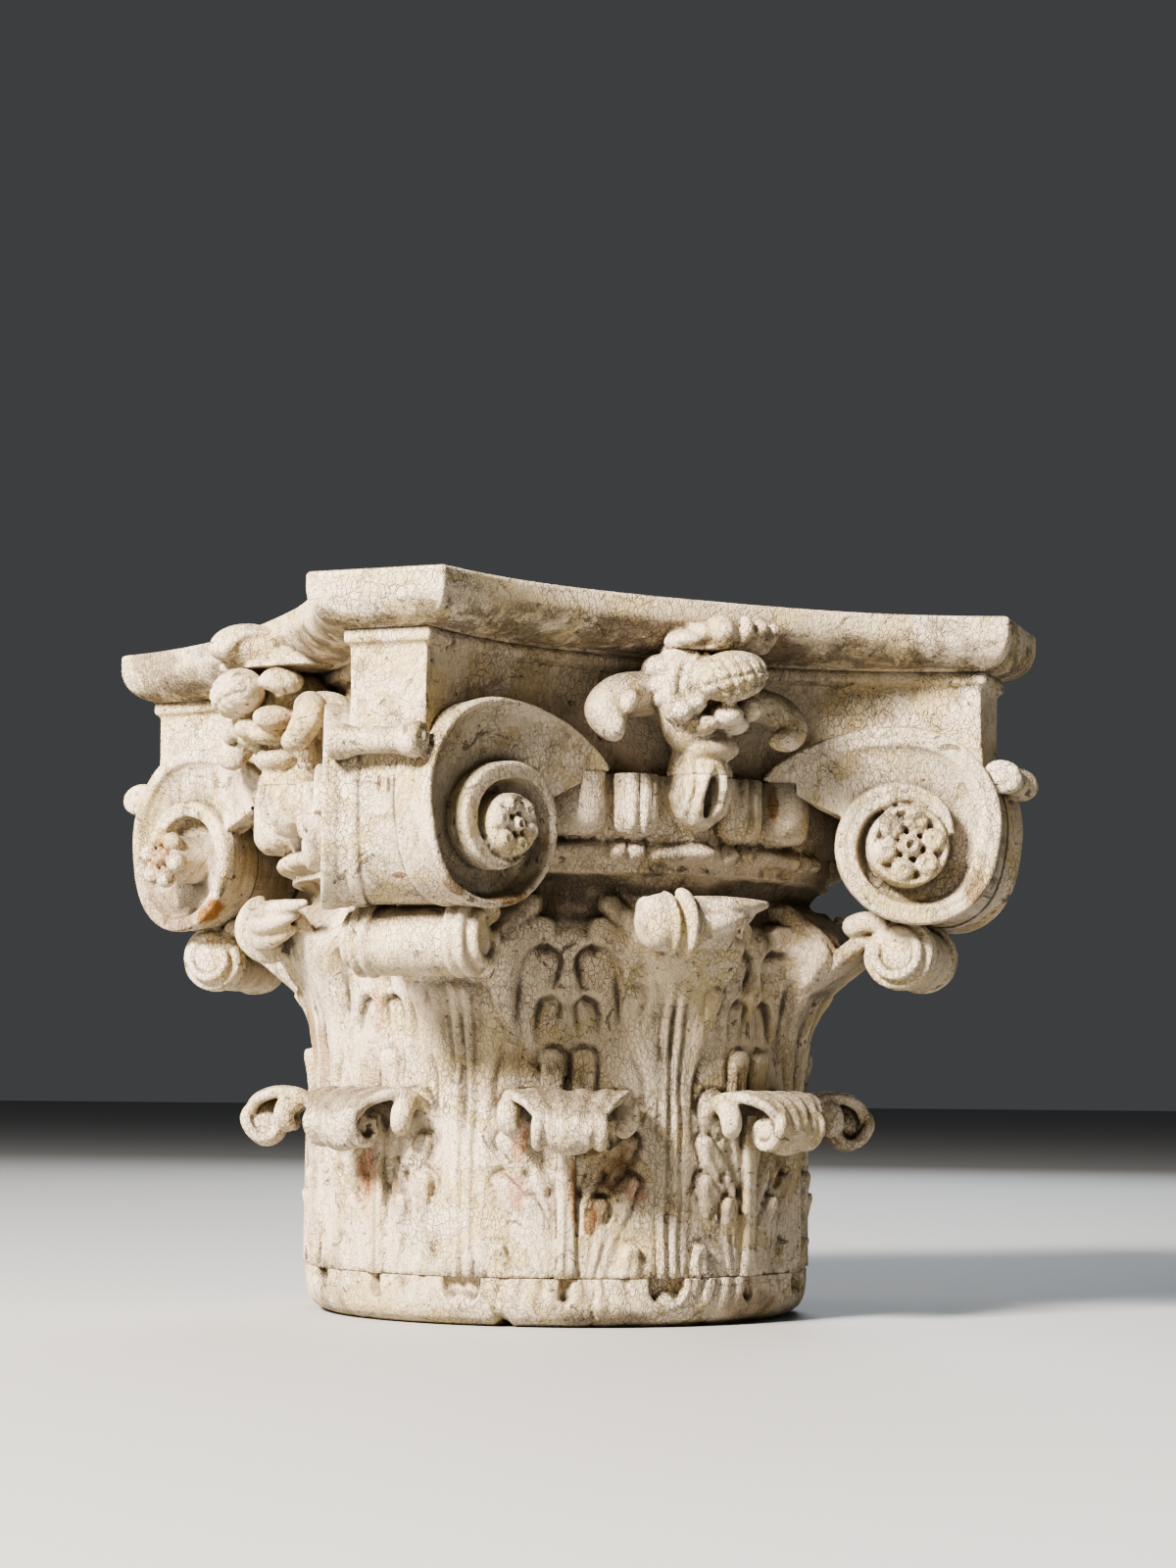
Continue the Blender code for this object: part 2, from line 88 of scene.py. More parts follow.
def smooth_line(knots, at, reach=0.0):
    """Read a line through knots, rounded over the given reach to either side."""
    xs, ys = zip(*knots)
    if not reach:
        return np.interp(at, xs, ys)
    steps = np.linspace(-1, 1, 9)
    return sum(np.interp(at + step * reach, xs, ys) for step in steps) / len(steps)


def smooth_step(low, high, at):
    """Rise smoothly from 0 at low to 1 at high."""
    share = np.clip((at - low) / (high - low), 0, 1)
    return share * share * (3 - 2 * share)


def curve_points(knots, at):
    """Points along a smooth curve through knots of any width, at shares from 0 to 1."""
    knots = np.array(knots, float)
    padded = np.vstack([2 * knots[0] - knots[1], knots, 2 * knots[-1] - knots[-2]])
    place = np.clip(np.asarray(at) * (len(knots) - 1), 0, len(knots) - 1 - 1e-9)
    start = place.astype(int)
    share = (place - start)[..., None]
    a, b, c, d = (padded[start + step] for step in range(4))
    return 0.5 * (2 * b + (c - a) * share + (2 * a - 5 * b + 4 * c - d) * share ** 2
                  + (3 * b - a - 3 * c + d) * share ** 3)


def stacked(*parts):
    """Join coordinate arrays into rows of points."""
    return np.stack(np.broadcast_arrays(*parts), axis=-1)


def turned_about_z(points, degrees):
    """Rows of points turned about the capital's axis."""
    turn = math.radians(degrees)
    x, y, z = points[..., 0], points[..., 1], points[..., 2]
    return stacked(x * math.cos(turn) - y * math.sin(turn),
                   x * math.sin(turn) + y * math.cos(turn), z)


# Shapes

def moved_grid(columns, rows, place):
    """A closed skin: a grid rolled up by place(round, along), its ends filled."""
    bm = bmesh.new()
    bmesh.ops.create_grid(bm, x_segments=columns, y_segments=rows, size=0.5)
    flat = np.array([vert.co for vert in bm.verts]) + 0.5
    for vert, point in zip(bm.verts, place(flat[:, 0], flat[:, 1])):
        vert.co = point
    bmesh.ops.remove_doubles(bm, verts=bm.verts, dist=1e-6)
    bmesh.ops.holes_fill(bm, edges=[edge for edge in bm.edges if edge.is_boundary], sides=0)
    bmesh.ops.recalc_face_normals(bm, faces=bm.faces)
    return bm


def lump(centre, half_sizes, turn=Matrix(), fine=24):
    """A rounded lump."""
    bm = bmesh.new()
    place = Matrix.Translation(centre) @ turn @ Matrix.Diagonal((*half_sizes, 1))
    bmesh.ops.create_uvsphere(bm, u_segments=fine, v_segments=fine // 2, radius=1, matrix=place)
    bmesh.ops.recalc_face_normals(bm, faces=bm.faces)
    return bm


def tube(knots, facing, columns=20, rows=60):
    """A round shoot along knots of (x, y, z, radius), with rounded ends."""
    knots = np.array(knots, float)
    nearby = 0.01

    def place(round_share, along):
        points = curve_points(knots, along)
        ahead = curve_points(knots, np.minimum(along + nearby, 1))
        behind = curve_points(knots, np.maximum(along - nearby, 0))
        run = (ahead - behind)[:, :3]
        run /= np.linalg.norm(run, axis=1, keepdims=True)
        side = np.cross(run, np.array(facing, float))
        side /= np.linalg.norm(side, axis=1, keepdims=True)
        out = np.cross(side, run)
        length = np.linalg.norm(np.diff(knots[:, :3], axis=0), axis=1).sum()
        left = np.minimum(along, 1 - along) * length / np.maximum(points[:, 3], 1e-6)
        radius = points[:, 3] * np.sqrt(1 - (1 - np.clip(left, 0, 1)) ** 2)
        turn = 2 * np.pi * round_share
        spread = side * np.cos(turn)[:, None] + out * np.sin(turn)[:, None]
        return points[:, :3] + spread * radius[:, None]

    return moved_grid(columns, rows, place)


def turn_round(bm, degrees):
    """Turn a shape about the capital's axis."""
    turn = Matrix.Rotation(math.radians(degrees), 3, "Z")
    bmesh.ops.rotate(bm, verts=bm.verts, cent=(0, 0, 0), matrix=turn)
    return bm


def join(shapes):
    """Put several closed shapes into one mesh."""
    whole = bmesh.new()
    for shape in shapes:
        part = bpy.data.meshes.new("part")
        shape.to_mesh(part)
        shape.free()
        whole.from_mesh(part)
        bpy.data.meshes.remove(part)
    return whole


def as_mesh(bm, name):
    """Finish a bmesh as mesh data."""
    mesh = bpy.data.meshes.new(name)
    bm.to_mesh(mesh)
    bm.free()
    return mesh


def with_modifiers(mesh, *steps):
    """The mesh that these modifier settings make of a mesh."""
    holder = bpy.data.objects.new("holder", mesh)
    bpy.context.scene.collection.objects.link(holder)
    for kind, settings in steps:
        step = holder.modifiers.new(kind.lower(), kind)
        for key, value in settings.items():
            setattr(step, key, value)
    bpy.context.view_layer.update()
    made = bpy.data.meshes.new_from_object(holder.evaluated_get(bpy.context.evaluated_depsgraph_get()))
    bpy.data.objects.remove(holder)
    bpy.data.meshes.remove(mesh)
    return made


def fused(shapes, grain):
    """Grow overlapping closed shapes into one carved skin of the given grain."""
    mesh = as_mesh(join(shapes), "carving")
    return with_modifiers(mesh, ("REMESH", {"mode": "VOXEL", "voxel_size": grain, "adaptivity": 0.0}))


def cut_flat(mesh, height, keep_above):
    """Cut a carving off level at a height and close it."""
    bm = bmesh.new()
    bm.from_mesh(mesh)
    cut = bmesh.ops.bisect_plane(
        bm, geom=bm.verts[:] + bm.edges[:] + bm.faces[:], dist=1e-7, plane_co=(0, 0, height),
        plane_no=(0, 0, 1), clear_inner=keep_above, clear_outer=not keep_above)
    edges = [item for item in cut["geom_cut"] if isinstance(item, bmesh.types.BMEdge)]
    bmesh.ops.holes_fill(bm, edges=edges, sides=0)
    bmesh.ops.triangulate(bm, faces=[face for face in bm.faces if len(face.verts) > 4])
    bm.to_mesh(mesh)
    bm.free()
    return mesh


def cut_out(mesh, cutter):
    """Cut a closed shape out of a carving."""
    tool = bpy.data.objects.new("cutter", cutter)
    bpy.context.scene.collection.objects.link(tool)
    cut = {"operation": "DIFFERENCE", "solver": "MANIFOLD", "object": tool}
    made = with_modifiers(mesh, ("BOOLEAN", cut))
    bpy.data.objects.remove(tool)
    bpy.data.meshes.remove(cutter)
    return made


def shells_of(bm):
    """The points of a bmesh, grouped by the shell that they belong to."""
    for vert in bm.verts:
        vert.tag = False
    shells = []
    for start in bm.verts:
        if start.tag:
            continue
        start.tag = True
        shell, waiting = [], [start]
        while waiting:
            vert = waiting.pop()
            shell.append(vert)
            for edge in vert.link_edges:
                other = edge.other_vert(vert)
                if not other.tag:
                    other.tag = True
                    waiting.append(other)
        shells.append(shell)
    return shells


def without_scraps(mesh):
    """Keep the one large shell of a carving, free of folded faces and with its gaps filled.

    Filling a gap can fold a face again, so this runs twice.
    """
    bm = bmesh.new()
    bm.from_mesh(mesh)
    for _ in range(2):
        bmesh.ops.dissolve_degenerate(bm, dist=2e-6, edges=bm.edges)
        folded = {face for edge in bm.edges if len(edge.link_faces) > 2 for face in edge.link_faces}
        around = {face for folds in folded for vert in folds.verts for face in vert.link_faces}
        bmesh.ops.delete(bm, geom=list(around), context="FACES")
        shells = sorted(shells_of(bm), key=len)
        bmesh.ops.delete(bm, geom=[vert for shell in shells[:-1] for vert in shell], context="VERTS")
        bmesh.ops.holes_fill(bm, edges=[edge for edge in bm.edges if edge.is_boundary], sides=0)
        bmesh.ops.triangulate(bm, faces=[face for face in bm.faces if len(face.verts) > 3])
    bmesh.ops.recalc_face_normals(bm, faces=bm.faces)
    bm.to_mesh(mesh)
    bm.free()
    return mesh


def limited(mesh, triangles):
    """Thin a carving out to at most this many triangles, where it is flattest first."""
    mesh.calc_loop_triangles()
    share = min(1.0, triangles / max(1, len(mesh.loop_triangles)))
    return without_scraps(with_modifiers(mesh, ("TRIANGULATE", {}), ("DECIMATE", {"ratio": share})))


def read_points(mesh):
    """The points of a mesh as rows."""
    flat = np.empty(len(mesh.vertices) * 3)
    mesh.vertices.foreach_get("co", flat)
    return flat.reshape(-1, 3)


def write_points(mesh, points):
    """Put rows of points back into a mesh."""
    mesh.vertices.foreach_set("co", points.ravel())
    mesh.update()


def neighbours_mean(points, first, second, count):
    """The mean of each point's neighbours."""
    total = np.stack([
        np.bincount(first, points[second, axis], len(points))
        + np.bincount(second, points[first, axis], len(points)) for axis in range(3)], axis=1)
    return total / count[:, None]


# Marks for the paint: (rounds of smoothing, name, depth that counts as full)
MARKS = ((5, "edge", 0.0007), (45, "hollow", 0.0022))


def mark_hollows(mesh):
    """Store how deep each point lies in a hollow, or how far out on an edge, for the paint.

    The measure is how far the point moves when its surroundings are smoothed a few or many times.
    """
    points = read_points(mesh)
    edges = np.empty(len(mesh.edges) * 2, int)
    mesh.edges.foreach_get("vertices", edges)
    first, second = edges[::2], edges[1::2]
    count = np.maximum(np.bincount(edges, minlength=len(points)), 1)
    normals = np.empty(len(points) * 3)
    mesh.vertex_normals.foreach_get("vector", normals)
    normals = normals.reshape(-1, 3)
    smooth = points
    for rounds, name, full in MARKS:
        for _ in range(rounds):
            smooth = 0.4 * smooth + 0.6 * neighbours_mean(smooth, first, second, count)
        depth = ((smooth - points) * normals).sum(axis=1) / full
        mark = mesh.attributes.new(name, "FLOAT", "POINT")
        mark.data.foreach_set("value", np.clip(depth, -1, 1).astype(np.float32))


# The most triangles that each carving may keep, by the kind of piece
MOST_TRIANGLES = {
    "foot_board": 90000, "bell": 198000, "abacus_block": 170000, "abacus_board": 120000, "volutes": 75000,
}


def finish_piece(name, mesh, node, slot, paint):
    """Thin out a carving and show it in place of its plain solid."""
    mesh = limited(mesh, MOST_TRIANGLES[slot])
    mesh.shade_smooth()
    mark_hollows(mesh)
    mesh.materials.clear()
    mesh.materials.append(paint)
    mesh.name = name
    piece = bpy.data.objects.new(name, mesh)
    bpy.context.scene.collection.objects.link(piece)
    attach(piece, "root")
    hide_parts(node)
    return piece


# Carving on the round of the bell: t runs round it and z upwards, both in millimetres

WALL_RADIUS_MM = 120.5
SECTOR_MM = WALL_RADIUS_MM * math.pi / 4
LOWER_TIER_TOP_MM = 107

# Lines of (z, radius): the plain wall, the leaves below the horns and the sides, and the web between
GROUND_MM = (
    (0, 116.5), (135, 116.5), (150, 117.5), (165, 119.0), (180, 120.5), (192, 120.5), (197, 122.0),
    (201.5, 126.0), (201.9, 130.5), (206.5, 130.5), (207.0, 132.0), (215.6, 132.0), (216.6, 134.0),
    (222, 136.5), (232, 138.0), (260, 138.5),
)
HORN_STEM_MM = (
    (0, 120.5), (95, 120.8), (115, 121.5), (132, 124.0), (145, 129.0), (152.5, 134.0), (160, 141.0),
    (166, 146.0), (172, 147.0), (180, 142.0), (188, 132.0), (196, 123.0),
)
FACE_STEM_MM = (
    (0, 120.5), (105, 120.8), (120, 121.5), (137, 124.0), (152, 129.0), (160, 134.0), (167, 139.0),
    (174, 139.0), (182, 132.0), (190, 123.0),
)
WEB_MM = (
    (0, 120.3), (120, 120.3), (140, 121.8), (155, 124.0), (170, 126.0), (185, 128.0), (197, 129.0),
)
# Half the width of a stem and its leaf at each height
STEM_WIDTH_MM = ((0, 12.3), (95, 12.8), (112, 15.0), (132, 21.0), (146, 25.0), (160, 27.5), (185, 29.0))

# Tongues, back ones first: (strokes of (t, z, radius), level above the leaf, lift at the tip, undercut)
TOP_TONGUES_MM = (
    (((36, 152, 8), (25.5, 174, 8.0), (17.5, 187.5, 4.6)), 0.3, 1.6, 2.4),
    (((33, 146, 8), (21.5, 165, 7.6), (12.0, 177.5, 4.6)), 0.6, 2.0, 2.6),
)
# Hoods, outer ones first: (strokes, sink under the arch, rise of its brim)
HOODS_MM = (
    (((19.5, 92, 4.6), (17.4, 132, 7.4), (12.8, 156, 10.0), (11.2, 161, 9.6)), 4.0, 1.2),
    (((12.0, 96, 3.4), (10.6, 124, 5.6), (9.0, 138.0, 7.0), (8.2, 141.5, 6.6)), 3.2, 1.0),
)
UPPER_TONGUES_MM = (
    (((27.8, 118, 2.2), (27.5, 147, 4.2)), 0.4, 1.6, 2.4),
    (((6.9, 88, 4.6), (7.1, 118.8, 5.4)), 1.0, 2.4, 2.6),
)
LOWER_TONGUES_MM = (
    (((5, 64, 5), (14, 84, 10), (21.5, 97, 9.0)), 0.2, 1.6, 3.0),
    (((6, 38, 4), (14, 60, 7.0), (22.0, 73.0, 6.4), (28.0, 82.0, 3.6)), 0.7, 2.4, 3.2),
    (((6, 14, 4), (14, 38, 7.6), (22.5, 53.5, 7.0), (28.5, 64.0, 4.0)), 0.9, 2.6, 3.4),
    (((6, 10, 4.2), (11.0, 36, 5.2), (13.0, 46.0, 5.2), (15.6, 54.5, 3.4)), 1.5, 2.0, 3.2),
    (((25.5, 4, 3.8), (29.6, 28.0, 4.4), (30.0, 34.5, 3.0)), 0.8, 2.2, 3.0),
)
# Veins as strokes of (t, z, radius), the rib up the middle of each lower leaf and the small drilled
# eyes between its lobes: (t, z, half width, half height, depth)
LOWER_VEINS_MM = (
    ((5.0, 12, 0.5), (9.0, 44, 0.6), (18.0, 68, 0.5)), ((6.5, 10, 0.5), (13.0, 40, 0.6), (22.0, 56, 0.4)),
    ((4.6, 48, 0.4), (9.0, 66, 0.5), (15.0, 80, 0.4)), ((8.5, 8, 0.5), (17.0, 36, 0.6), (25.0, 50, 0.4)),
    ((6.0, 60, 0.4), (12.0, 76, 0.5), (17.0, 88, 0.4)), ((12.0, 8, 0.5), (20.0, 26, 0.5), (25.0, 40, 0.4)),
)
MIDRIB_MM = ((0, 10, 6.5), (0, 30, 4.6), (0, 92, 4.3))
EYES_MM = (
    (17.8, 67.0, 1.7, 3.6, 1.9), (7.6, 59.0, 1.5, 3.4, 1.6), (19.2, 84.5, 1.4, 2.8, 1.8),
    (24.0, 49.5, 1.2, 2.6, 1.5),
)

# The row of eggs and the beads below it, on one half of a side: eggs are (middle, half width, reach,
# whether ribbed) and beads (middle, half length)
EGGS_MM = ((26.6, 10.3, 148.2, True), (53.6, 12.9, 150.0, False))
EGG_FOOT_MM = 217.2
EGG_CORNER_MM = 10.5
BEAD_Z_MM = 211.2
BEADS_MM = ((0.0, 19.0), (24.4, 4.1), (33.4, 4.1), (57.0, 18.5), (80.4, 4.1), (89.4, 4.1))


def stroke(t, z, knots):
    """Distance from a chain of tapered strokes, its local radius and how far along it lies."""
    best = np.full(np.shape(t), np.inf)
    width = np.zeros_like(best)
    along = np.zeros_like(best)
    count = len(knots) - 1
    for number, ((t0, z0, r0), (t1, z1, r1)) in enumerate(zip(knots, knots[1:])):
        run_t, run_z = t1 - t0, z1 - z0
        share = np.clip(((t - t0) * run_t + (z - z0) * run_z) / (run_t ** 2 + run_z ** 2), 0, 1)
        radius = r0 + (r1 - r0) * share
        gap = np.hypot(t - t0 - run_t * share, z - z0 - run_z * share) - radius
        nearer = gap < best
        best = np.where(nearer, gap, best)
        width = np.where(nearer, radius, width)
        along = np.where(nearer, (number + share) / count, along)
    return best, width, along


def carve_tongue(radius, leaf, t, z, tongue):
    """Grow one tongue out of the leaf up to a sharp tip with a dark cut beyond it."""
    knots, level, lift, undercut = tongue
    gap, width, along = stroke(t, z, knots)
    inside = np.clip(-gap / width, 0, 1)
    dome = 1 - (1 - inside) ** 3.2
    away = np.clip(width + gap, 0, None)
    shown = smooth_step(0.1, 0.4, along) * (1 - smooth_step(0.8, 0.97, along))
    vein = 1.1 * np.exp(-(away / 1.0) ** 2) * shown
    raised = leaf + level - 1.2 * (1 - along) + 0.75 * lift * along ** 3 - 0.22 * width * (1 - dome) - vein
    grown = radius + (raised - radius) * smooth_step(0.0, 0.35, along)
    beyond = np.exp(-(np.maximum(gap, 0) / 2.0) ** 2)
    cut = radius - 0.8 * undercut * smooth_step(0.45, 0.97, along) * beyond
    deepest = np.minimum(radius, leaf - 4.2)
    return np.where(gap < 0, grown, np.maximum(cut, deepest))


def carve_hood(radius, t, z, hood):
    """Cut a dark crescent under an arched brim, with the leaf swelling again inside it."""
    knots, sink, rise = hood
    gap, _, along = stroke(t, z, knots)
    sunk = sink * smooth_step(0.0, 1.6, -gap) * (1 - 0.85 * smooth_step(2.0, 6.5, -gap))
    sunk = sunk * smooth_step(0.25, 0.80, along)
    brim = rise * np.exp(-((gap - 1.6) / 2.4) ** 2) * smooth_step(0.25, 0.75, along)
    return radius + brim - sunk


def leaf_sector(degrees):
    """Millimetres round the wall from the nearest gap's middle, and the gap's number."""
    number = np.floor(degrees / 45.0)
    return np.radians(degrees - 45.0 * number - 22.5) * WALL_RADIUS_MM, number


def carve_stem(radius, stem, z):
    """Two ridges and a groove up the middle of each stem, with a shallow flute beside them."""
    fade = 1 - smooth_step(132, 156, z)
    ridge = 0.9 * np.exp(-((stem - 3.0) / 1.4) ** 2)
    groove = 2.4 * np.exp(-(stem / 1.2) ** 2) + 1.7 * np.exp(-((stem - 5.6) / 1.0) ** 2)
    flute = 0.6 * np.exp(-((stem - 9.0) / 2.0) ** 2)
    return radius + (ridge - groove - flute) * fade


def carve_upper_tier(half, stem, z, on_horn):
    """The upper leaves with the wall behind them; gives the radius and the leaf's own surface."""
    wall = smooth_line(GROUND_MM, z)
    stem_leaf = np.where(on_horn, smooth_line(HORN_STEM_MM, z, 4), smooth_line(FACE_STEM_MM, z, 4))
    width = smooth_line(STEM_WIDTH_MM, z, 4)
    near_stem = 1 - smooth_step(width - 6, width + 9, stem)
    leaf = smooth_line(WEB_MM, z, 3) * (1 - near_stem) + stem_leaf * near_stem
    radius = leaf - 1.1
    radius = radius + (wall - radius) * smooth_step(173, 184, z)
    body = np.clip((width - stem) / 3.2, 0, 1) * (1 - smooth_step(184, 196, z))
    edge = 1.3 * np.exp(-((stem - width - 0.4) / 1.1) ** 2) * (1 - smooth_step(150, 165, z))
    swollen = np.maximum(radius, wall + (leaf - wall) * (1 - (1 - body) ** 2)) - edge
    radius = np.where(z < 200, swollen, radius)
    for tongue in TOP_TONGUES_MM:
        radius = carve_tongue(radius, leaf, half, z, tongue)
    for hood in HOODS_MM:
        radius = carve_hood(radius, half, z, hood)
    for tongue in UPPER_TONGUES_MM:
        radius = carve_tongue(radius, leaf, half, z, tongue)
    return carve_stem(radius, stem, z), leaf


def carve_lower_tier(upper, leaf, t, half, z):
    """The lower leaves over the foot of the upper ones."""
    lower = np.where(half < 35, leaf - 1.2, upper)
    lower = upper + (lower - upper) * (1 - smooth_step(94, 100, z))
    for tongue in LOWER_TONGUES_MM:
        lower = carve_tongue(lower, leaf, half, z, tongue)
    for vein in LOWER_VEINS_MM:
        gap, _, along = stroke(half, z, vein)
        lower = lower - 1.4 * np.exp(-(np.maximum(gap, 0) / 0.9) ** 2) * (1 - 0.5 * along)
    for eye_t, eye_z, eye_width, eye_height, depth in EYES_MM:
        leaning = half - eye_t + (z - eye_z) * 0.25
        lower = lower - depth * np.exp(-((leaning / eye_width) ** 2 + ((z - eye_z) / eye_height) ** 2) ** 2)
    gap, _, _ = stroke(t, z, MIDRIB_MM)
    rib = leaf + 1.5 - 1.6 * np.exp(-(gap / 0.8) ** 2)
    return np.where(gap < 0, rib, lower - 1.8 * np.exp(-(gap / 1.4) ** 2))


def bell_radius_mm(degrees, z):
    """How far out the carved bell reaches, at angles from -Y towards +X."""
    t, number = leaf_sector(degrees)
    sway = 0.45 * np.sin(z * 0.07 + number * 2.3) + 0.15 * np.sin(z * 0.19 + number * 5.1)
    t = t + sway * smooth_step(25, 60, z) * (1 - smooth_step(196, 204, z))
    half = np.abs(t)
    half = half + 0.3 * np.sin(z * 0.17 + number * 1.7 + np.sign(t) * 1.3) * smooth_step(0, 8, half)
    stem = SECTOR_MM / 2 - half
    on_horn = np.mod(np.round(degrees / 45.0), 2) == 1
    upper, leaf = carve_upper_tier(half, stem, z, on_horn)
    return np.where(z < LOWER_TIER_TOP_MM, carve_lower_tier(upper, leaf, t, half, z), upper)


def echinus_radius_mm(degrees, z, radius):
    """Add the eggs and the beads to the top of the bell."""
    side = np.abs(np.mod(degrees + 45.0, 90.0) - 45.0)
    arc = np.radians(side) * 140.0
    for centre, half_width, reach, ribbed in EGGS_MM:
        across = (np.abs(arc - centre) / half_width) ** 3
        down = (np.clip(EGG_FOOT_MM + EGG_CORNER_MM - z, 0, None) / EGG_CORNER_MM) ** 3
        gap = ((across + down) ** (1 / 3) - 1) * half_width
        inside = np.clip(-gap / half_width, 0, 1)
        raised = reach - 6.5 * (1 - inside) ** 2.6
        if ribbed:
            raised = raised - 3.0 * np.exp(-((arc - centre) / 1.3) ** 2) - 1.4 * np.exp(
                -((np.abs(arc - centre) - 5.2) / 1.0) ** 2)
        cut = radius - 1.6 * np.exp(-(np.maximum(gap, 0) / 1.1) ** 2)
        radius = np.where(z > EGG_FOOT_MM - 2, np.where(gap < 0, raised, cut), radius)
    for centre, half_length in BEADS_MM:
        along = 1 - np.clip(np.abs(arc - centre) / half_length, 0, 1) ** 4
        across = 1 - np.clip(np.abs(z - BEAD_Z_MM) / 4.5, 0, 1) ** 2
        swell = np.sqrt(along * across)
        radius = np.where(swell > 0, np.maximum(radius, 131.5 + 7.0 * swell), radius)
    return radius


def bell_skin(round_share, along):
    """Place the bell's grid: round the axis and up from below the foot seam."""
    degrees = 360.0 * round_share - 180.0
    low, high = FOOT_SEAM_Z / MM - 3, BELL_TOP_Z / MM + 3
    z = low + (high - low) * along
    radius = echinus_radius_mm(degrees, z, bell_radius_mm(degrees, z)) * MM
    turn = np.radians(degrees)
    return stacked(radius * np.sin(turn), -radius * np.cos(turn), z * MM)


# Leaf tips: a sheet rolled along a line of (reach, height), in millimetres

LOWER_CURL_MM = (
    (113, 84), (119, 96), (127, 102.0), (137, 102.6), (145.5, 98.5), (148.6, 90.0), (145.0, 82.2),
    (138.0, 80.6), (133.2, 85.5), (134.6, 91.5), (140.0, 92.5),
)
HORN_CURL_MM = (
    (114, 134), (126, 150), (140, 162), (152, 171), (164, 178.5), (176, 179.3), (185.2, 173.5),
    (186.6, 164.5), (180.0, 158.0), (170.5, 158.0), (165.0, 164.0), (168.0, 171.0), (175.0, 171.0),
)
FACE_CURL_MM = (
    (110, 136), (122, 152), (132, 165), (138, 176), (144, 186.0), (151, 187.5), (155.3, 181.5),
    (155.0, 173.5), (149.5, 169.0), (143.5, 171.5), (142.5, 177.5), (147.5, 180.0),
)

# Half the width of each sheet at shares of its line, and the reach that this is rounded over
LOWER_CURL_WIDTH = (
    ((0, 30), (0.2, 29.5), (0.32, 26), (0.42, 19), (0.52, 14), (0.65, 11.5), (1, 10.5)), 0.03,
)
HORN_CURL_WIDTH = ((0, 23), (0.30, 25), (0.42, 21), (1, 17)), 0.04
FACE_CURL_WIDTH = ((0, 24), (0.35, 25), (0.5, 20), (1, 15)), 0.05

# Ribs wound round each end of a roll: (distance out, size, thickness)
HORN_RIBS_MM = ((18.4, 16.0, 2.3), (23.6, 15.4, 2.5), (28.8, 11.4, 2.5))

# Rings round the ball of a side's leaf tip: (place along, share of the ball's size, thickness), in metres
FACE_RINGS = ((-0.0105, 1.12, 0.0027), (-0.0180, 1.04, 0.0017), (-0.0245, 0.86, 0.0017))

# Feathers to the right of that ball, as knots of a tube
FACE_FEATHERS = (
    ((-0.0070, -0.1495, 0.1870, 0.0040), (0.0090, -0.1520, 0.1868, 0.0046),
     (0.0240, -0.1495, 0.1872, 0.0038), (0.0370, -0.1440, 0.1890, 0.0016)),
    ((-0.0070, -0.1530, 0.1805, 0.0046), (0.0070, -0.1550, 0.1795, 0.0050),
     (0.0190, -0.1510, 0.1812, 0.0038), (0.0285, -0.1450, 0.1845, 0.0018)),
    ((-0.0070, -0.1515, 0.1735, 0.0046), (0.0040, -0.1525, 0.1725, 0.0046),
     (0.0140, -0.1480, 0.1750, 0.0034), (0.0210, -0.1430, 0.1785, 0.0018)),
)

# How far the knob of each lower leaf leans to one side, in metres
KNOB_LEANS = (0.0, 0.0016, -0.0012, 0.0008, -0.0006, 0.0014, -0.0015, 0.0005)


def curled_tip(line, widths, curl_at, thickness, grooves=0.0, shift=0.0):
    """A leaf tip rolled over along a line, curled less towards its sides.

    curl_at(across) says how much of the line is used at each place from -1 to 1.
    """
    width_knots, width_reach = widths

    def place(round_share, along):
        loop = round_share * 2
        run = np.where(loop < 1, loop, 2 - loop)
        outer = np.where(loop < 1, 1.0, -1.0)
        across = 2 * along - 1
        used = np.clip(run, 0.0005, 0.9995) * curl_at(across)
        points = curve_points(line, used)
        ahead = curve_points(line, np.minimum(used + 0.004, 1))
        behind = curve_points(line, np.maximum(used - 0.004, 0))
        tangent = ahead - behind
        tangent /= np.linalg.norm(tangent, axis=1, keepdims=True) + 1e-12
        ends = np.clip(np.minimum(run, 1 - run) / 0.06, 0, 1)
        sides = np.clip((1 - np.abs(across)) / 0.16, 0, 1)
        thick = thickness / 2 * np.sqrt(1 - (1 - ends) ** 2) * (0.25 + 0.75 * np.sqrt(1 - (1 - sides) ** 2))
        thick = thick * (1 - grooves * (0.5 + 0.5 * np.cos(across * math.pi * 5)) * (outer > 0))
        offset = across * smooth_line(width_knots, used, width_reach) + shift * smooth_step(0.2, 0.5, used)
        reach = points[:, 0] - tangent[:, 1] * thick * outer - offset ** 2 / (4 * WALL_RADIUS_MM)
        height = points[:, 1] + tangent[:, 0] * thick * outer
        return stacked(offset * MM, -reach * MM, height * MM)

    return moved_grid(90, 64, place)


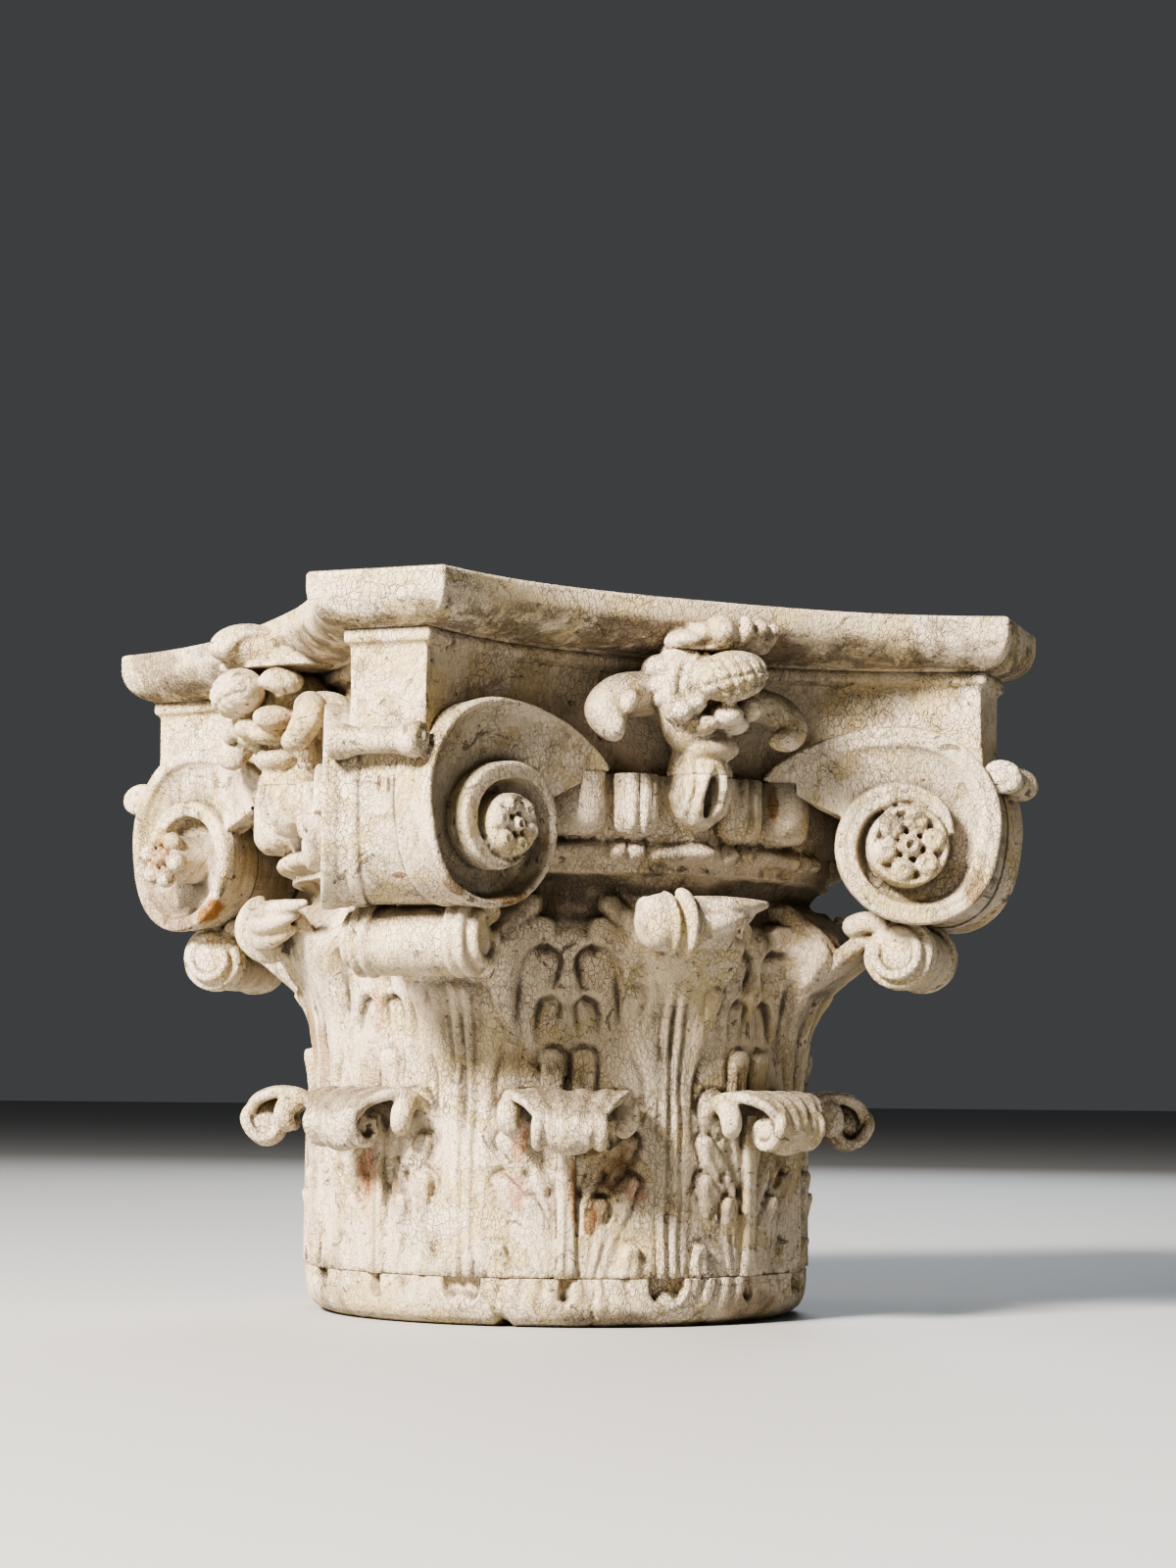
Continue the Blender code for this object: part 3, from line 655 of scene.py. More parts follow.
def lower_leaf_tip(number):
    """The curled tip of a lower leaf: a wide arm that folds down into a round knob."""
    def curl(across):
        out = np.abs(across)
        return 1 - 0.40 * smooth_step(0.40, 0.75, out) - 0.16 * smooth_step(0.8, 1.0, out)

    sheet = curled_tip(LOWER_CURL_MM, LOWER_CURL_WIDTH, curl, thickness=6.0, grooves=0.42)
    knob = lump((KNOB_LEANS[number], -0.1404, 0.0893), (0.0142, 0.0110, 0.0128))
    shapes = [sheet, knob]
    for hand in (-1, 1):
        fold = ((hand * 0.0225, -0.1220, 0.0985, 0.0050), (hand * 0.0262, -0.1290, 0.0970, 0.0052),
                (hand * 0.0262, -0.1310, 0.0905, 0.0048), (hand * 0.0225, -0.1270, 0.0850, 0.0036))
        ring = ((hand * 0.0130, -0.1475, 0.0965, 0.0026), (hand * 0.0142, -0.1498, 0.0895, 0.0028),
                (hand * 0.0138, -0.1450, 0.0820, 0.0028), (hand * 0.0132, -0.1380, 0.0815, 0.0026),
                (hand * 0.0130, -0.1345, 0.0870, 0.0024), (hand * 0.0130, -0.1380, 0.0920, 0.0024))
        shapes += [tube(path, SIDEWAYS, columns=16, rows=40) for path in (fold, ring)]
    return join(shapes)


def horn_leaf_tip():
    """The broad smooth roll of an upper leaf below a horn, with a small curl at each side."""
    def curl(across):
        return 1 - 0.30 * smooth_step(0.8, 1.0, np.abs(across))

    sheet = curled_tip(HORN_CURL_MM, HORN_CURL_WIDTH, curl, thickness=8.0)
    roll = tube(((-0.0245, -0.1735, 0.1705, 0.0090), (-0.0150, -0.1755, 0.1690, 0.0140),
                 (0.0, -0.1760, 0.1685, 0.0145), (0.0130, -0.1755, 0.1688, 0.0140),
                 (0.0225, -0.1740, 0.1700, 0.0105)), FRONT, columns=40)
    shapes = [sheet, roll]
    for hand in (-1, 1):
        shapes.append(lump((hand * 0.0235, -0.1750, 0.1688), (0.0085, 0.0152, 0.0150)))
        fold = ((hand * 0.0235, -0.1490, 0.1800, 0.0050), (hand * 0.0245, -0.1590, 0.1835, 0.0052),
                (hand * 0.0240, -0.1700, 0.1830, 0.0040))
        shapes.append(tube(fold, SIDEWAYS))
        for out, size, thick in HORN_RIBS_MM:
            rib = []
            for step in range(8):
                turn = math.radians(105 - 45 * step)
                wound = size - 0.35 * step
                rib.append((hand * (out + 0.5 * step) * MM, (-175.0 - wound * math.cos(turn)) * MM,
                            (168.8 + wound * math.sin(turn)) * MM, thick * MM))
            shapes.append(tube(rib, SIDEWAYS, columns=14, rows=70))
    return join(shapes)


def face_leaf_tip():
    """The smaller tip of an upper leaf on a side: a ball at its left and a point at its right."""
    def curl(across):
        return 1 - 0.60 * smooth_step(-0.1, 1.0, across)

    sheet = curled_tip(FACE_CURL_MM, FACE_CURL_WIDTH, curl, thickness=6.0, grooves=0.4, shift=-7.0)
    shapes = [sheet, lump((-0.0195, -0.1480, 0.1788), (0.0115, 0.0112, 0.0128))]
    for shift, size, thick in FACE_RINGS:
        ring = [(shift + 0.0008 * step, -0.1475 - 0.0112 * size * math.sin(step * 0.62),
                 0.1788 + 0.0124 * size * math.cos(step * 0.62), thick) for step in range(0, 8)]
        shapes.append(tube(ring, SIDEWAYS, columns=14, rows=40))
    return join(shapes + [tube(path, FRONT, columns=16) for path in FACE_FEATHERS])


# The husk: shares of its height with half its width and depth
HUSK_WIDTH_MM = (
    (0, 0.1), (0.03, 5.0), (0.14, 11.0), (0.34, 15.2), (0.60, 14.6), (0.82, 12.0), (0.99, 10.0), (1, 0.1),
)
HUSK_DEPTH_MM = (
    (0, 0.1), (0.05, 6.0), (0.20, 12.0), (0.42, 15.0), (0.66, 13.6), (0.85, 11.0), (0.99, 9.0), (1, 0.1),
)
HUSK_SIZE_MM = 15.0


def husk():
    """The bud under each flower: leaves wrapped round a narrow oval hollow."""
    def place(round_share, along):
        turn = 2 * np.pi * round_share
        x = smooth_line(HUSK_WIDTH_MM, along, 0.006) * np.cos(turn)
        y = smooth_line(HUSK_DEPTH_MM, along, 0.006) * np.sin(turn)
        z = 220.6 + 45.0 * along
        reach = np.hypot((x - 0.6 - 0.10 * (z - 236)) / 3.5, (z - 235.5) / 9.0)
        spread = 1 + 0.35 * smooth_step(238, 256, z)
        hollow = -7.5 * (1 - smooth_step(0.75, 1.20, reach))
        lip = 1.5 * np.exp(-((reach - 1.65) / 0.40) ** 2)
        folds = 0.9 * np.exp(-((reach - 2.95 * spread) / 0.3) ** 2)
        for distance, depth in ((2.45, 2.2), (3.45, 1.8)):
            folds = folds - depth * np.exp(-((reach - distance * spread) / 0.26) ** 2)
        relief = (lip + hollow + folds) * smooth_step(0.1, 0.5, -np.sin(turn))
        grown = 1 + relief / HUSK_SIZE_MM
        return stacked((3.0 + x * (0.35 + 0.65 * grown)) * MM, (-141.0 + y * grown) * MM, z * MM)

    brow = lump((0.0050, -0.1492, 0.2572), (0.0130, 0.0102, 0.0066))
    return [moved_grid(150, 110, place), brow]


def bell_shapes():
    """The bell with its leaves, beads, eggs and husks, as overlapping closed shapes."""
    shapes = [moved_grid(900, 280, bell_skin)]
    for number in range(2 * SIDES):
        shapes.append(turn_round(lower_leaf_tip(number), number * 45 + 22.5))
    for side in range(SIDES):
        shapes.append(turn_round(face_leaf_tip(), side * 90))
        shapes.append(turn_round(horn_leaf_tip(), side * 90 + 45))
        shapes += [turn_round(shape, side * 90) for shape in husk()]
    return shapes


# Abacus: shapes of (reach of the horn face, its width, reach of the side's middle)

# How late a side bends out to its horns, and its share of a quarter of the outline
SIDE_BOW, SIDE_SHARE = 2.8, 0.86
# The block's shape by height
BLOCK_LEVELS = (
    (BELL_TOP_Z - CUT_MARGIN, (0.2145, 0.0370, 0.1210)), (0.2560, (0.2135, 0.0360, 0.1206)),
    (0.2720, (0.2125, 0.0350, 0.1205)), (0.2925, (0.2128, 0.0360, 0.1225)),
    (0.2938, (0.2153, 0.0398, 0.1268)), (0.2948, (0.2155, 0.0400, 0.1270)),
    (BLOCK_TOP_Z + CUT_MARGIN, (0.2155, 0.0400, 0.1270)),
)
BOARD_FOOT = (0.2149, 0.0418, 0.1300)
BOARD_TOP = (0.2287, 0.0636, 0.1555)
# Heights of its straight foot and its upright edge, and how far its top is eased
BOARD_STEP, BOARD_FILLET, BOARD_EASE = 0.0008, 0.0068, 0.0012


def abacus_outline(round_share, shape):
    """Points round the abacus: four bowed sides joined by the flat horn faces."""
    reach, width, middle = shape
    quarter = np.floor(np.clip(round_share, 0, 1 - 1e-9) * 4)
    local = round_share * 4 - quarter
    half = (reach - width / 2) * math.sqrt(0.5)
    corner = (reach + width / 2) * math.sqrt(0.5)
    share = np.clip(local / SIDE_SHARE, 0, 1) * 2 - 1
    out = middle + (corner - middle) * np.abs(share) ** SIDE_BOW
    on_horn = np.clip((local - SIDE_SHARE) / (1 - SIDE_SHARE), 0, 1)
    x = share * half + (corner - half) * on_horn
    y = -out + (corner - half) * on_horn
    turn = quarter * math.pi / 2
    return x * np.cos(turn) - y * np.sin(turn), x * np.sin(turn) + y * np.cos(turn)


def block_skin(round_share, along, grown=0.0):
    """Place the abacus block's grid."""
    heights = [height for height, _ in BLOCK_LEVELS]
    z = heights[0] + (heights[-1] - heights[0]) * along
    shape = [np.interp(z, heights, [level[part] for _, level in BLOCK_LEVELS]) for part in range(3)]
    shape = (shape[0] + grown, shape[1] + 2 * grown * (math.sqrt(2) - 1), shape[2] + grown)
    x, y = abacus_outline(round_share, shape)
    return stacked(x, y, z)


def board_skin(round_share, along):
    """Place the abacus board's grid: straight foot, ovolo, upright edge, eased top."""
    foot, edge = BOARD_FOOT_Z, TOTAL_HEIGHT - BOARD_FILLET
    knots = [(0, foot - CUT_MARGIN, 0, 0), (0.06, foot + BOARD_STEP, 0, 0)]
    for step in range(1, 13):
        bend = step / 12 * math.pi / 2
        rise = foot + BOARD_STEP + (edge - foot - BOARD_STEP) * (1 - math.cos(bend))
        knots.append((0.06 + 0.6 * step / 12, rise, math.sin(bend), 0))
    knots += [(0.90, TOTAL_HEIGHT - BOARD_EASE, 1, 0), (1.0, TOTAL_HEIGHT, 1, BOARD_EASE)]
    at, heights, shares, backs = zip(*knots)
    z = np.interp(along, at, heights)
    share = np.interp(along, at, shares)
    back = np.interp(along, at, backs)
    shape = [low + (high - low) * share - back for low, high in zip(BOARD_FOOT, BOARD_TOP)]
    x, y = abacus_outline(round_share, shape)
    return stacked(x, y, z)


def tendrils():
    """The thick curled shoot at each side of a flower, with the eye inside its curl."""
    left = ((-0.0150, -0.1340, 0.2835, 0.0080), (-0.0280, -0.1410, 0.2820, 0.0088),
            (-0.0400, -0.1460, 0.2785, 0.0092), (-0.0480, -0.1500, 0.2715, 0.0092),
            (-0.0462, -0.1540, 0.2650, 0.0080), (-0.0405, -0.1560, 0.2640, 0.0066))
    right = ((0.0160, -0.1350, 0.2810, 0.0080), (0.0300, -0.1420, 0.2795, 0.0078),
             (0.0410, -0.1460, 0.2760, 0.0076), (0.0455, -0.1500, 0.2695, 0.0070),
             (0.0430, -0.1525, 0.2640, 0.0062), (0.0370, -0.1535, 0.2625, 0.0048),
             (0.0335, -0.1520, 0.2645, 0.0032))
    left_eye = lump((-0.0400, -0.1575, 0.2745), (0.0036, 0.0044, 0.0058), Matrix.Rotation(0.35, 4, "Y"))
    right_eye = lump((0.0385, -0.1490, 0.2730), (0.0050, 0.0050, 0.0048))
    roots = [lump((hand * 0.0240, -0.1330, 0.2800), (0.0150, 0.0140, 0.0085)) for hand in (-1, 1)]
    return [tube(left, FRONT, columns=28), tube(right, FRONT, columns=24), left_eye, right_eye] + roots


def seed_head():
    """The flower's seed head: a flattened ball cut with a lattice of small lozenges."""
    def place(round_share, along):
        turn, tilt = 2 * np.pi * round_share, np.pi * (along - 0.5)
        x, z, y = np.cos(turn) * np.cos(tilt), np.sin(turn) * np.cos(tilt), -np.sin(tilt)
        lattice = np.maximum(np.abs(np.cos(9.0 * (x + 0.25 * z))), np.abs(np.cos(6.6 * (z - 0.30 * x) + 0.6)))
        front = smooth_step(0.0, 0.3, -y) * smooth_step(0.75, 0.35, z + 0.2 * x)
        size = 1 - 0.17 * lattice ** 12 * front
        across, up = 0.0178 * x * size, 0.0114 * z * size
        return stacked(0.0045 + across, -0.1690 + 0.0124 * y * size, 0.2873 + up + 0.10 * across)

    return moved_grid(170, 120, place)


# Petals below the seed head: (centre, half sizes)
PETALS = (
    ((-0.0150, -0.1560, 0.2722), (0.0062, 0.0100, 0.0058)),
    ((0.0063, -0.1600, 0.2708), (0.0072, 0.0110, 0.0058)),
    ((0.0196, -0.1560, 0.2750), (0.0056, 0.0105, 0.0060)),
    ((-0.0030, -0.1560, 0.2668), (0.0064, 0.0100, 0.0048)),
    ((0.0128, -0.1560, 0.2676), (0.0058, 0.0096, 0.0046)),
    ((0.0212, -0.1530, 0.2925), (0.0054, 0.0110, 0.0064)),
    ((-0.0208, -0.1460, 0.2925), (0.0060, 0.0110, 0.0056)),
    ((-0.0222, -0.1440, 0.2838), (0.0052, 0.0100, 0.0048)),
    ((-0.0186, -0.1490, 0.2782), (0.0052, 0.0096, 0.0044)),
    ((-0.0090, -0.1590, 0.2760), (0.0056, 0.0080, 0.0050)),
)

# Folds of the leaf behind them: (x at its foot, x at its top, how far it stands out)
PETAL_FOLDS = ((-0.0190, -0.0135, 0.0), (-0.0130, -0.0085, 0.0018), (-0.0072, -0.0040, 0.0022))


def calyx():
    """The body of the flower on the block, with its petals below the seed head."""
    stem = lump((-0.0010, -0.1370, 0.2820), (0.0190, 0.0210, 0.0180))
    leaf = tube(((0.0, -0.1430, 0.2560, 0.0130), (-0.0065, -0.1470, 0.2700, 0.0118),
                 (-0.0115, -0.1500, 0.2840, 0.0112), (-0.0120, -0.1530, 0.2960, 0.0095),
                 (-0.0100, -0.1550, 0.3020, 0.0080)), FRONT, columns=28)
    neck = tube(((0.0040, -0.1400, 0.2480, 0.0140), (0.0030, -0.1420, 0.2640, 0.0130),
                 (0.0030, -0.1470, 0.2780, 0.0140)), FRONT)
    shapes = [stem, leaf, neck, seed_head()]
    for foot, top, lift in PETAL_FOLDS:
        fold = ((foot + 0.0050, -0.1480, 0.2640, 0.0016), (foot + 0.0010, -0.1560 - lift, 0.2760, 0.0022),
                (foot, -0.1590 - lift, 0.2880, 0.0024), (top, -0.1600 - lift, 0.2985, 0.0018))
        shapes.append(tube(fold, FRONT, columns=12))
    return shapes + [lump(centre, sizes, fine=20) for centre, sizes in PETALS]


def crown(side):
    """The flower's crown on the board: round lobes at its left and curved blades at its right.

    On the left side of the capital a longer leaf lies over the board's moulding.
    """
    shapes = [lump((0.0020, -0.1480, 0.3000), (0.0210, 0.0200, 0.0080)),
              lump((-0.0125, -0.1570, 0.3030), (0.0090, 0.0110, 0.0056)),
              lump((-0.0060, -0.1600, 0.3060), (0.0070, 0.0100, 0.0060)),
              lump((0.0005, -0.1650, 0.3065), (0.0072, 0.0094, 0.0086))]
    blades = ((0.0090, 0.3140, 0.0000), (0.0165, 0.3125, 0.0010), (0.0235, 0.3090, 0.0026))
    if side == 3:
        blades = ()
        shapes += [tube(((0.0080, -0.1300, 0.3010, 0.0120), (0.0060, -0.1480, 0.3060, 0.0120),
                         (0.0040, -0.1640, 0.3100, 0.0108), (0.0020, -0.1735, 0.3090, 0.0086),
                         (0.0015, -0.1765, 0.3025, 0.0058)), SIDEWAYS, columns=32),
                   lump((0.0160, -0.1430, 0.3010), (0.0180, 0.0160, 0.0100)),
                   lump((-0.0110, -0.1640, 0.3020), (0.0060, 0.0090, 0.0066))]
        for shift, lift in ((-0.0060, 0.0066), (0.0040, 0.0096), (0.0130, 0.0064)):
            vein = ((shift + 0.0030, -0.1380, 0.3025 + lift, 0.0020),
                    (shift + 0.0010, -0.1540, 0.3072 + lift, 0.0026),
                    (shift - 0.0010, -0.1690, 0.3088 + 0.8 * lift, 0.0026),
                    (shift - 0.0020, -0.1770, 0.3020 + 0.5 * lift, 0.0018))
            shapes.append(tube(vein, SIDEWAYS, columns=12, rows=40))
    for x, top, back in blades:
        blade = ((x - 0.0050, -0.1560, 0.2985, 0.0036), (x, -0.1660 + back, 0.3030, 0.0036),
                 (x + 0.0022, -0.1715 + back, 0.3095, 0.0030), (x - 0.0004, -0.1700 + back, top, 0.0018))
        shapes.append(tube(blade, SIDEWAYS, columns=16, rows=30))
    return shapes


# Volutes: a runs along a spiral face towards the horn, b up from the eye and h out of the face

# The eye of a spiral: along the horn, aside from its middle, and up
EYE_REACH, EYE_OFFSET, EYE_Z = 0.1840, 0.0424, 0.2170
FACE_SLANT = math.radians(24.3)
# The outer edge of every spiral: (degrees from straight up towards the horn, distance from the eye)
SPIRAL_MM = (
    (-66, 74.0), (-50, 66.0), (-30, 58.7), (-10, 55.4), (8, 55.2), (25, 54.6), (57, 49.5), (90, 42.5),
    (130, 40.5), (180, 35.0), (225, 33.2), (270, 32.8), (310, 32.2),
)
SPIRAL_START, SPIRAL_ROUND = -66, 7
SEAT_RADIUS, SEAT_FOOT = 0.1503, 0.2158
SEAT_GAP = 0.0003

# How a spiral goes on and ends, in millimetres: inner is the rest of its edge
BROAD_FACE = dict(
    inner=((360, 28.6), (400, 26.2), (434, 21.8)), rim=9.5, swell=1.4, groove=0.9, depth=6.5, rise=4.0,
    boss=18.6, height=6.5, ring=11.4, petal=5.4, button=5.2, thick=2.9)
DEEP_FACE = dict(
    inner=((360, 27.4), (420, 26.6), (460, 25.4), (500, 22.0), (545, 18.4), (580, 16.5)),
    rim=3.8, swell=4.4, groove=0.0, depth=10.5, rise=3.5,
    boss=13.6, height=8.0, ring=8.8, petal=4.3, button=3.4, thick=2.9)
TALL_FACE = dict(
    inner=((360, 28.6), (400, 26.2), (434, 21.8)), rim=7.0, swell=1.4, groove=0.5, depth=7.5, rise=5.0,
    boss=11.6, height=14.0, ring=10.4, petal=5.0, button=4.6, thick=4.6)
FACES = {("volute_front_left", 1): DEEP_FACE, ("volute_back_left", 1): TALL_FACE}


def face_points(hand, a, b, h):
    """Points on a spiral face, with the horn along +X."""
    reach = EYE_REACH + (a * math.cos(FACE_SLANT) + h * math.sin(FACE_SLANT)) * MM
    offset = EYE_OFFSET - (a * math.sin(FACE_SLANT) - h * math.cos(FACE_SLANT)) * MM
    return stacked(reach, hand * offset, EYE_Z + b * MM)


def spiral_band(hand, face):
    """The rim and the hollow channel inside it, wound in to the eye."""
    knots = SPIRAL_MM + face["inner"]
    end = knots[-1][0]
    groove, depth, boss = face["groove"], face["depth"], face["boss"]

    def place(round_share, along):
        degrees = SPIRAL_START + (end - SPIRAL_START) * along
        outer = smooth_line(knots, degrees, SPIRAL_ROUND)
        width = face["rim"] + face["swell"] * smooth_step(240, 380, degrees)
        width = np.minimum(width, np.maximum(outer - boss - 1.6, 1.6))
        next_turn = smooth_line(knots, np.minimum(degrees + 360, end), SPIRAL_ROUND) - 1.5
        inner = np.where(degrees + 360 < end, next_turn, boss - 3.0)
        inner = np.minimum(inner, outer - width - 0.4)
        top = face["rise"] * smooth_step(190, 400, degrees)
        span = outer - width - inner
        drop = depth * (0.25 + 0.75 * smooth_step(-50, 60, degrees)) + 0.5 * top
        # Corners of the band's cross-section: (distance from the eye, height over the face)
        corners = (
            (outer - 2.4, -depth - 3.0), (outer - 1.0, -7.5), (outer - 0.1, -5.5), (outer, top - 1.6),
            (outer - 0.5, top - 0.5), (outer - 1.3, top), (outer - 0.42 * width, top),
            (outer - 0.52 * width, top - groove), (outer - 0.62 * width, top), (outer - width + 1.0, top),
            (outer - width + 0.2, top - 0.8), (outer - width - 0.04 * span, top - 0.55 * drop),
            (outer - width - 0.16 * span, top - 0.86 * drop), (outer - width - 0.50 * span, top - drop),
            (inner, top - 0.96 * drop), (inner, -15.0 + 0 * span),
        )
        knots_here = np.array([np.broadcast_arrays(radius, height) for radius, height in corners])
        place_on = np.mod(round_share, 1.0) * len(corners)
        start = place_on.astype(int) % len(corners)
        share = (place_on - np.floor(place_on))[:, None]
        rows = np.arange(len(start))
        here, there = knots_here[start, :, rows], knots_here[(start + 1) % len(corners), :, rows]
        point = here + (there - here) * share
        turn = np.radians(degrees)
        return face_points(hand, point[:, 0] * np.sin(turn), point[:, 0] * np.cos(turn), point[:, 1])

    return moved_grid(64, 380, place)


def volute_body(depths):
    """The wood between the two spirals of a horn, with raised edges down its front.

    depths gives how far in its two faces lie, by hand.
    """
    degrees = np.arange(-60, 301, 6)
    radii = smooth_line(SPIRAL_MM, degrees, SPIRAL_ROUND)
    outline = list(zip(radii * np.sin(np.radians(degrees)), radii * np.cos(np.radians(degrees))))
    outline += [(-38.0, 22.0), (-60.0, 26.0)]
    line = np.array(outline + outline[:1])
    length = np.concatenate([[0], np.cumsum(np.hypot(*np.diff(line, axis=0).T))])
    length /= length[-1]

    def place(round_share, along):
        a = np.interp(round_share, length, line[:, 0])
        b = np.interp(round_share, length, line[:, 1])
        across = np.abs(2 * along - 1)
        edge_groove = 1.3 * np.exp(-((across - 0.80) / 0.035) ** 2)
        sunk = 2.2 - 1.2 * smooth_step(0.50, 0.56, across) + edge_groove
        size = np.hypot(a, b)
        shrink = (size - sunk) / size
        right = face_points(1, a * shrink, b * shrink, -depths[1])
        left = face_points(-1, a * shrink, b * shrink, -depths[-1])
        return left + (right - left) * along[:, None]

    return moved_grid(280, 130, place)


def face_matrix(hand):
    """Turns shapes so that X runs along a spiral face, Y up and Z out of it."""
    along = Vector((math.cos(FACE_SLANT), -hand * math.sin(FACE_SLANT), 0))
    out = Vector((math.sin(FACE_SLANT), hand * math.cos(FACE_SLANT), 0))
    turn = Matrix((along, Vector((0, 0, 1)), out)).transposed().to_4x4()
    return Matrix.Translation((EYE_REACH, hand * EYE_OFFSET, EYE_Z)) @ turn


def petal_spots(face):
    """Middles of a rosette's six petals: (along the face, up)."""
    for number in range(6):
        turn = math.radians(60 * number + 14)
        yield face["ring"] * math.cos(turn) * MM, face["ring"] * math.sin(turn) * MM


def rosette(hand, face):
    """The eye: a boss with a rim, six round petals and a button."""
    place = face_matrix(hand)
    radius, height, thick = face["boss"], face["height"], face["thick"]
    petal, button = face["petal"] * MM, face["button"] * MM
    profile = ((0.01, -14.0), (radius, -13.9), (radius, height - 3.0), (radius - 0.6, height - 0.7),
               (radius - 1.6, height), (radius - 2.8, height - 0.5), (radius - 3.6, height - 2.4),
               (0.01, height - 3.0))

    def boss(round_share, along):
        at = np.linspace(0, 1, len(profile))
        out, up = (np.interp(along, at, column) for column in zip(*profile))
        turn = 2 * np.pi * round_share
        return face_points(hand, out * np.cos(turn), out * np.sin(turn), up)

    shapes = [moved_grid(60, 56, boss)]
    spin = place.to_3x3().to_4x4()
    for along, up in petal_spots(face):
        middle = place @ Vector((along, up, (height - 0.4) * MM))
        shapes.append(lump(middle, (petal, petal, thick * MM), spin))
    middle = place @ Vector((0, 0, height * MM))
    shapes.append(lump(middle, (button, button, (thick + 1.1) * MM), spin))
    return shapes


def rosette_cuts(hand, face):
    """Small hollows: one in the middle of each petal and one in the button."""
    place = face_matrix(hand)
    spin = place.to_3x3().to_4x4()
    petal, button = face["petal"] * 0.5 * MM, face["button"] * 0.5 * MM
    top = face["height"] + face["thick"]
    middle = place @ Vector((0, 0, (top + 1.7) * MM))
    cuts = [lump(middle, (button, button, 3.4 * MM), spin, fine=16)]
    for along, up in petal_spots(face):
        middle = place @ Vector((along, up, (top + 0.2) * MM))
        cuts.append(lump(middle, (petal, petal, 1.4 * MM), spin, fine=16))
    return as_mesh(join(cuts), "rosette_cuts")


# Half of the spool: (distance from its middle, radius)
SPOOL_MM = ((0, 5.6), (8, 5.8), (12, 6.6), (16, 8.4), (19.5, 8.6), (21.4, 7.2), (22, 4.6))


def spool():
    """The bone-shaped roll that lies across the horn on top of its spirals."""
    def place(round_share, along):
        offset = (2 * along - 1) * 22.0
        radius = smooth_line(SPOOL_MM, np.abs(offset), 1.0)
        radius = np.where(np.abs(offset) > 21.99, 0.02, radius)
        turn = 2 * np.pi * round_share
        lobes = 1 + 0.10 * np.cos(turn * 2 + 0.6) * smooth_step(12, 18, np.abs(offset))
        return stacked((222.8 + radius * np.cos(turn) * lobes) * MM, offset * MM,
                       (250.3 + radius * np.sin(turn) * lobes) * MM)

    eyes = [lump((0.2228, hand * 0.0218, 0.2503), (0.0036, 0.0018, 0.0036), fine=16) for hand in (-1, 1)]
    return [moved_grid(44, 70, place)] + eyes


def volute_seat():
    """The shapes of the block and the eggs that a volute sits against."""
    block = moved_grid(240, 12, lambda round_share, along: block_skin(round_share, along, SEAT_GAP))
    bm = bmesh.new()
    low, high = SEAT_FOOT, BELL_TOP_Z + SEAT_GAP
    bmesh.ops.create_cone(bm, cap_ends=True, segments=180, radius1=SEAT_RADIUS, radius2=SEAT_RADIUS,
                          depth=high - low, matrix=Matrix.Translation((0, 0, (low + high) / 2)))
    return as_mesh(block, "block_seat"), as_mesh(bm, "egg_seat")


def volute_mesh(node, grain):
    """One volute as a single carving, with its horn along +X."""
    faces = [(hand, FACES.get((node, hand), BROAD_FACE)) for hand in (-1, 1)]
    shapes = [volute_body({hand: face["depth"] + 1.0 for hand, face in faces})] + spool()
    for hand, face in faces:
        shapes += [spiral_band(hand, face)] + rosette(hand, face)
    mesh = fused(shapes, grain)
    for hand, face in faces:
        mesh = cut_out(mesh, rosette_cuts(hand, face))
    return mesh


# Foot board: (angle from -Y, width, depth) of each chip in its lower edge

CHIPS_MM = ((-36.5, 4.6, 13.0), (28.0, 3.5, 8.0), (-75.0, 2.0, 3.0), (61.0, 3.0, 5.0), (150.0, 4.0, 8.0))

# Cracks up from the lower edge: (angle from -Y, height)
CRACKS_MM = ((-16.3, 24), (-37.5, 9), (12.0, 8), (84.0, 20), (171.0, 15))

# Its edge as (z, radius), and strokes of (t, z, radius) for the feet of the leaves' veins
FOOT_EDGE_MM = (
    (-1, 107.5), (0, 108.6), (2, 113.8), (4, 116.6), (7, 118.6), (11, 119.8), (16, 120.4), (24, 120.5),
)
FOOT_VEINS_MM = (
    ((8.5, 26, 0.8), (11.5, 9, 0.7)), ((17, 26, 0.8), (21, 8, 0.7)), ((26, 26, 0.8), (30.5, 12, 0.6)),
)


def foot_radius_mm(degrees, z):
    """How far out the foot board reaches: the leaves' feet run on across its seam."""
    t, _ = leaf_sector(degrees)
    half = np.abs(t)
    stem = SECTOR_MM / 2 - half
    radius = smooth_line(FOOT_EDGE_MM, z, 0.5)
    pocket, _, _ = stroke(stem, z, ((0, 18.5, 9.5), (0, 34, 9.5)))
    arch, _, _ = stroke(stem, z, ((0, 5.0, 6.0), (0, 10.0, 5.0)))
    sunk = (1 - smooth_step(-1.6, 0.0, pocket)) * smooth_step(-0.6, 0.8, arch)
    radius = radius - 5.6 * sunk + 0.9 * np.exp(-(pocket / 1.6) ** 2)
    groove, _, _ = stroke(half, z, ((0, 14.0, 3.2), (0, 34, 1.4)))
    radius = radius - 4.6 * (1 - smooth_step(-1.4, 0.4, groove))
    for vein in FOOT_VEINS_MM:
        gap, _, along = stroke(half, z, vein)
        radius = radius - 2.4 * np.exp(-(np.maximum(gap, 0) / 1.4) ** 2) * (1 - 0.7 * along)
    for chip, width, depth in CHIPS_MM:
        away = np.radians(degrees - chip) * WALL_RADIUS_MM
        radius = radius - depth * np.clip(1 - np.hypot(away / width, z / (width * 1.5)), 0, 1)
    for crack, height in CRACKS_MM:
        away = np.radians(degrees - crack) * WALL_RADIUS_MM - 0.5 * np.sin(z * 0.5)
        radius = radius - 3.0 * np.exp(-(away / 0.8) ** 2) * (z < height)
    return radius


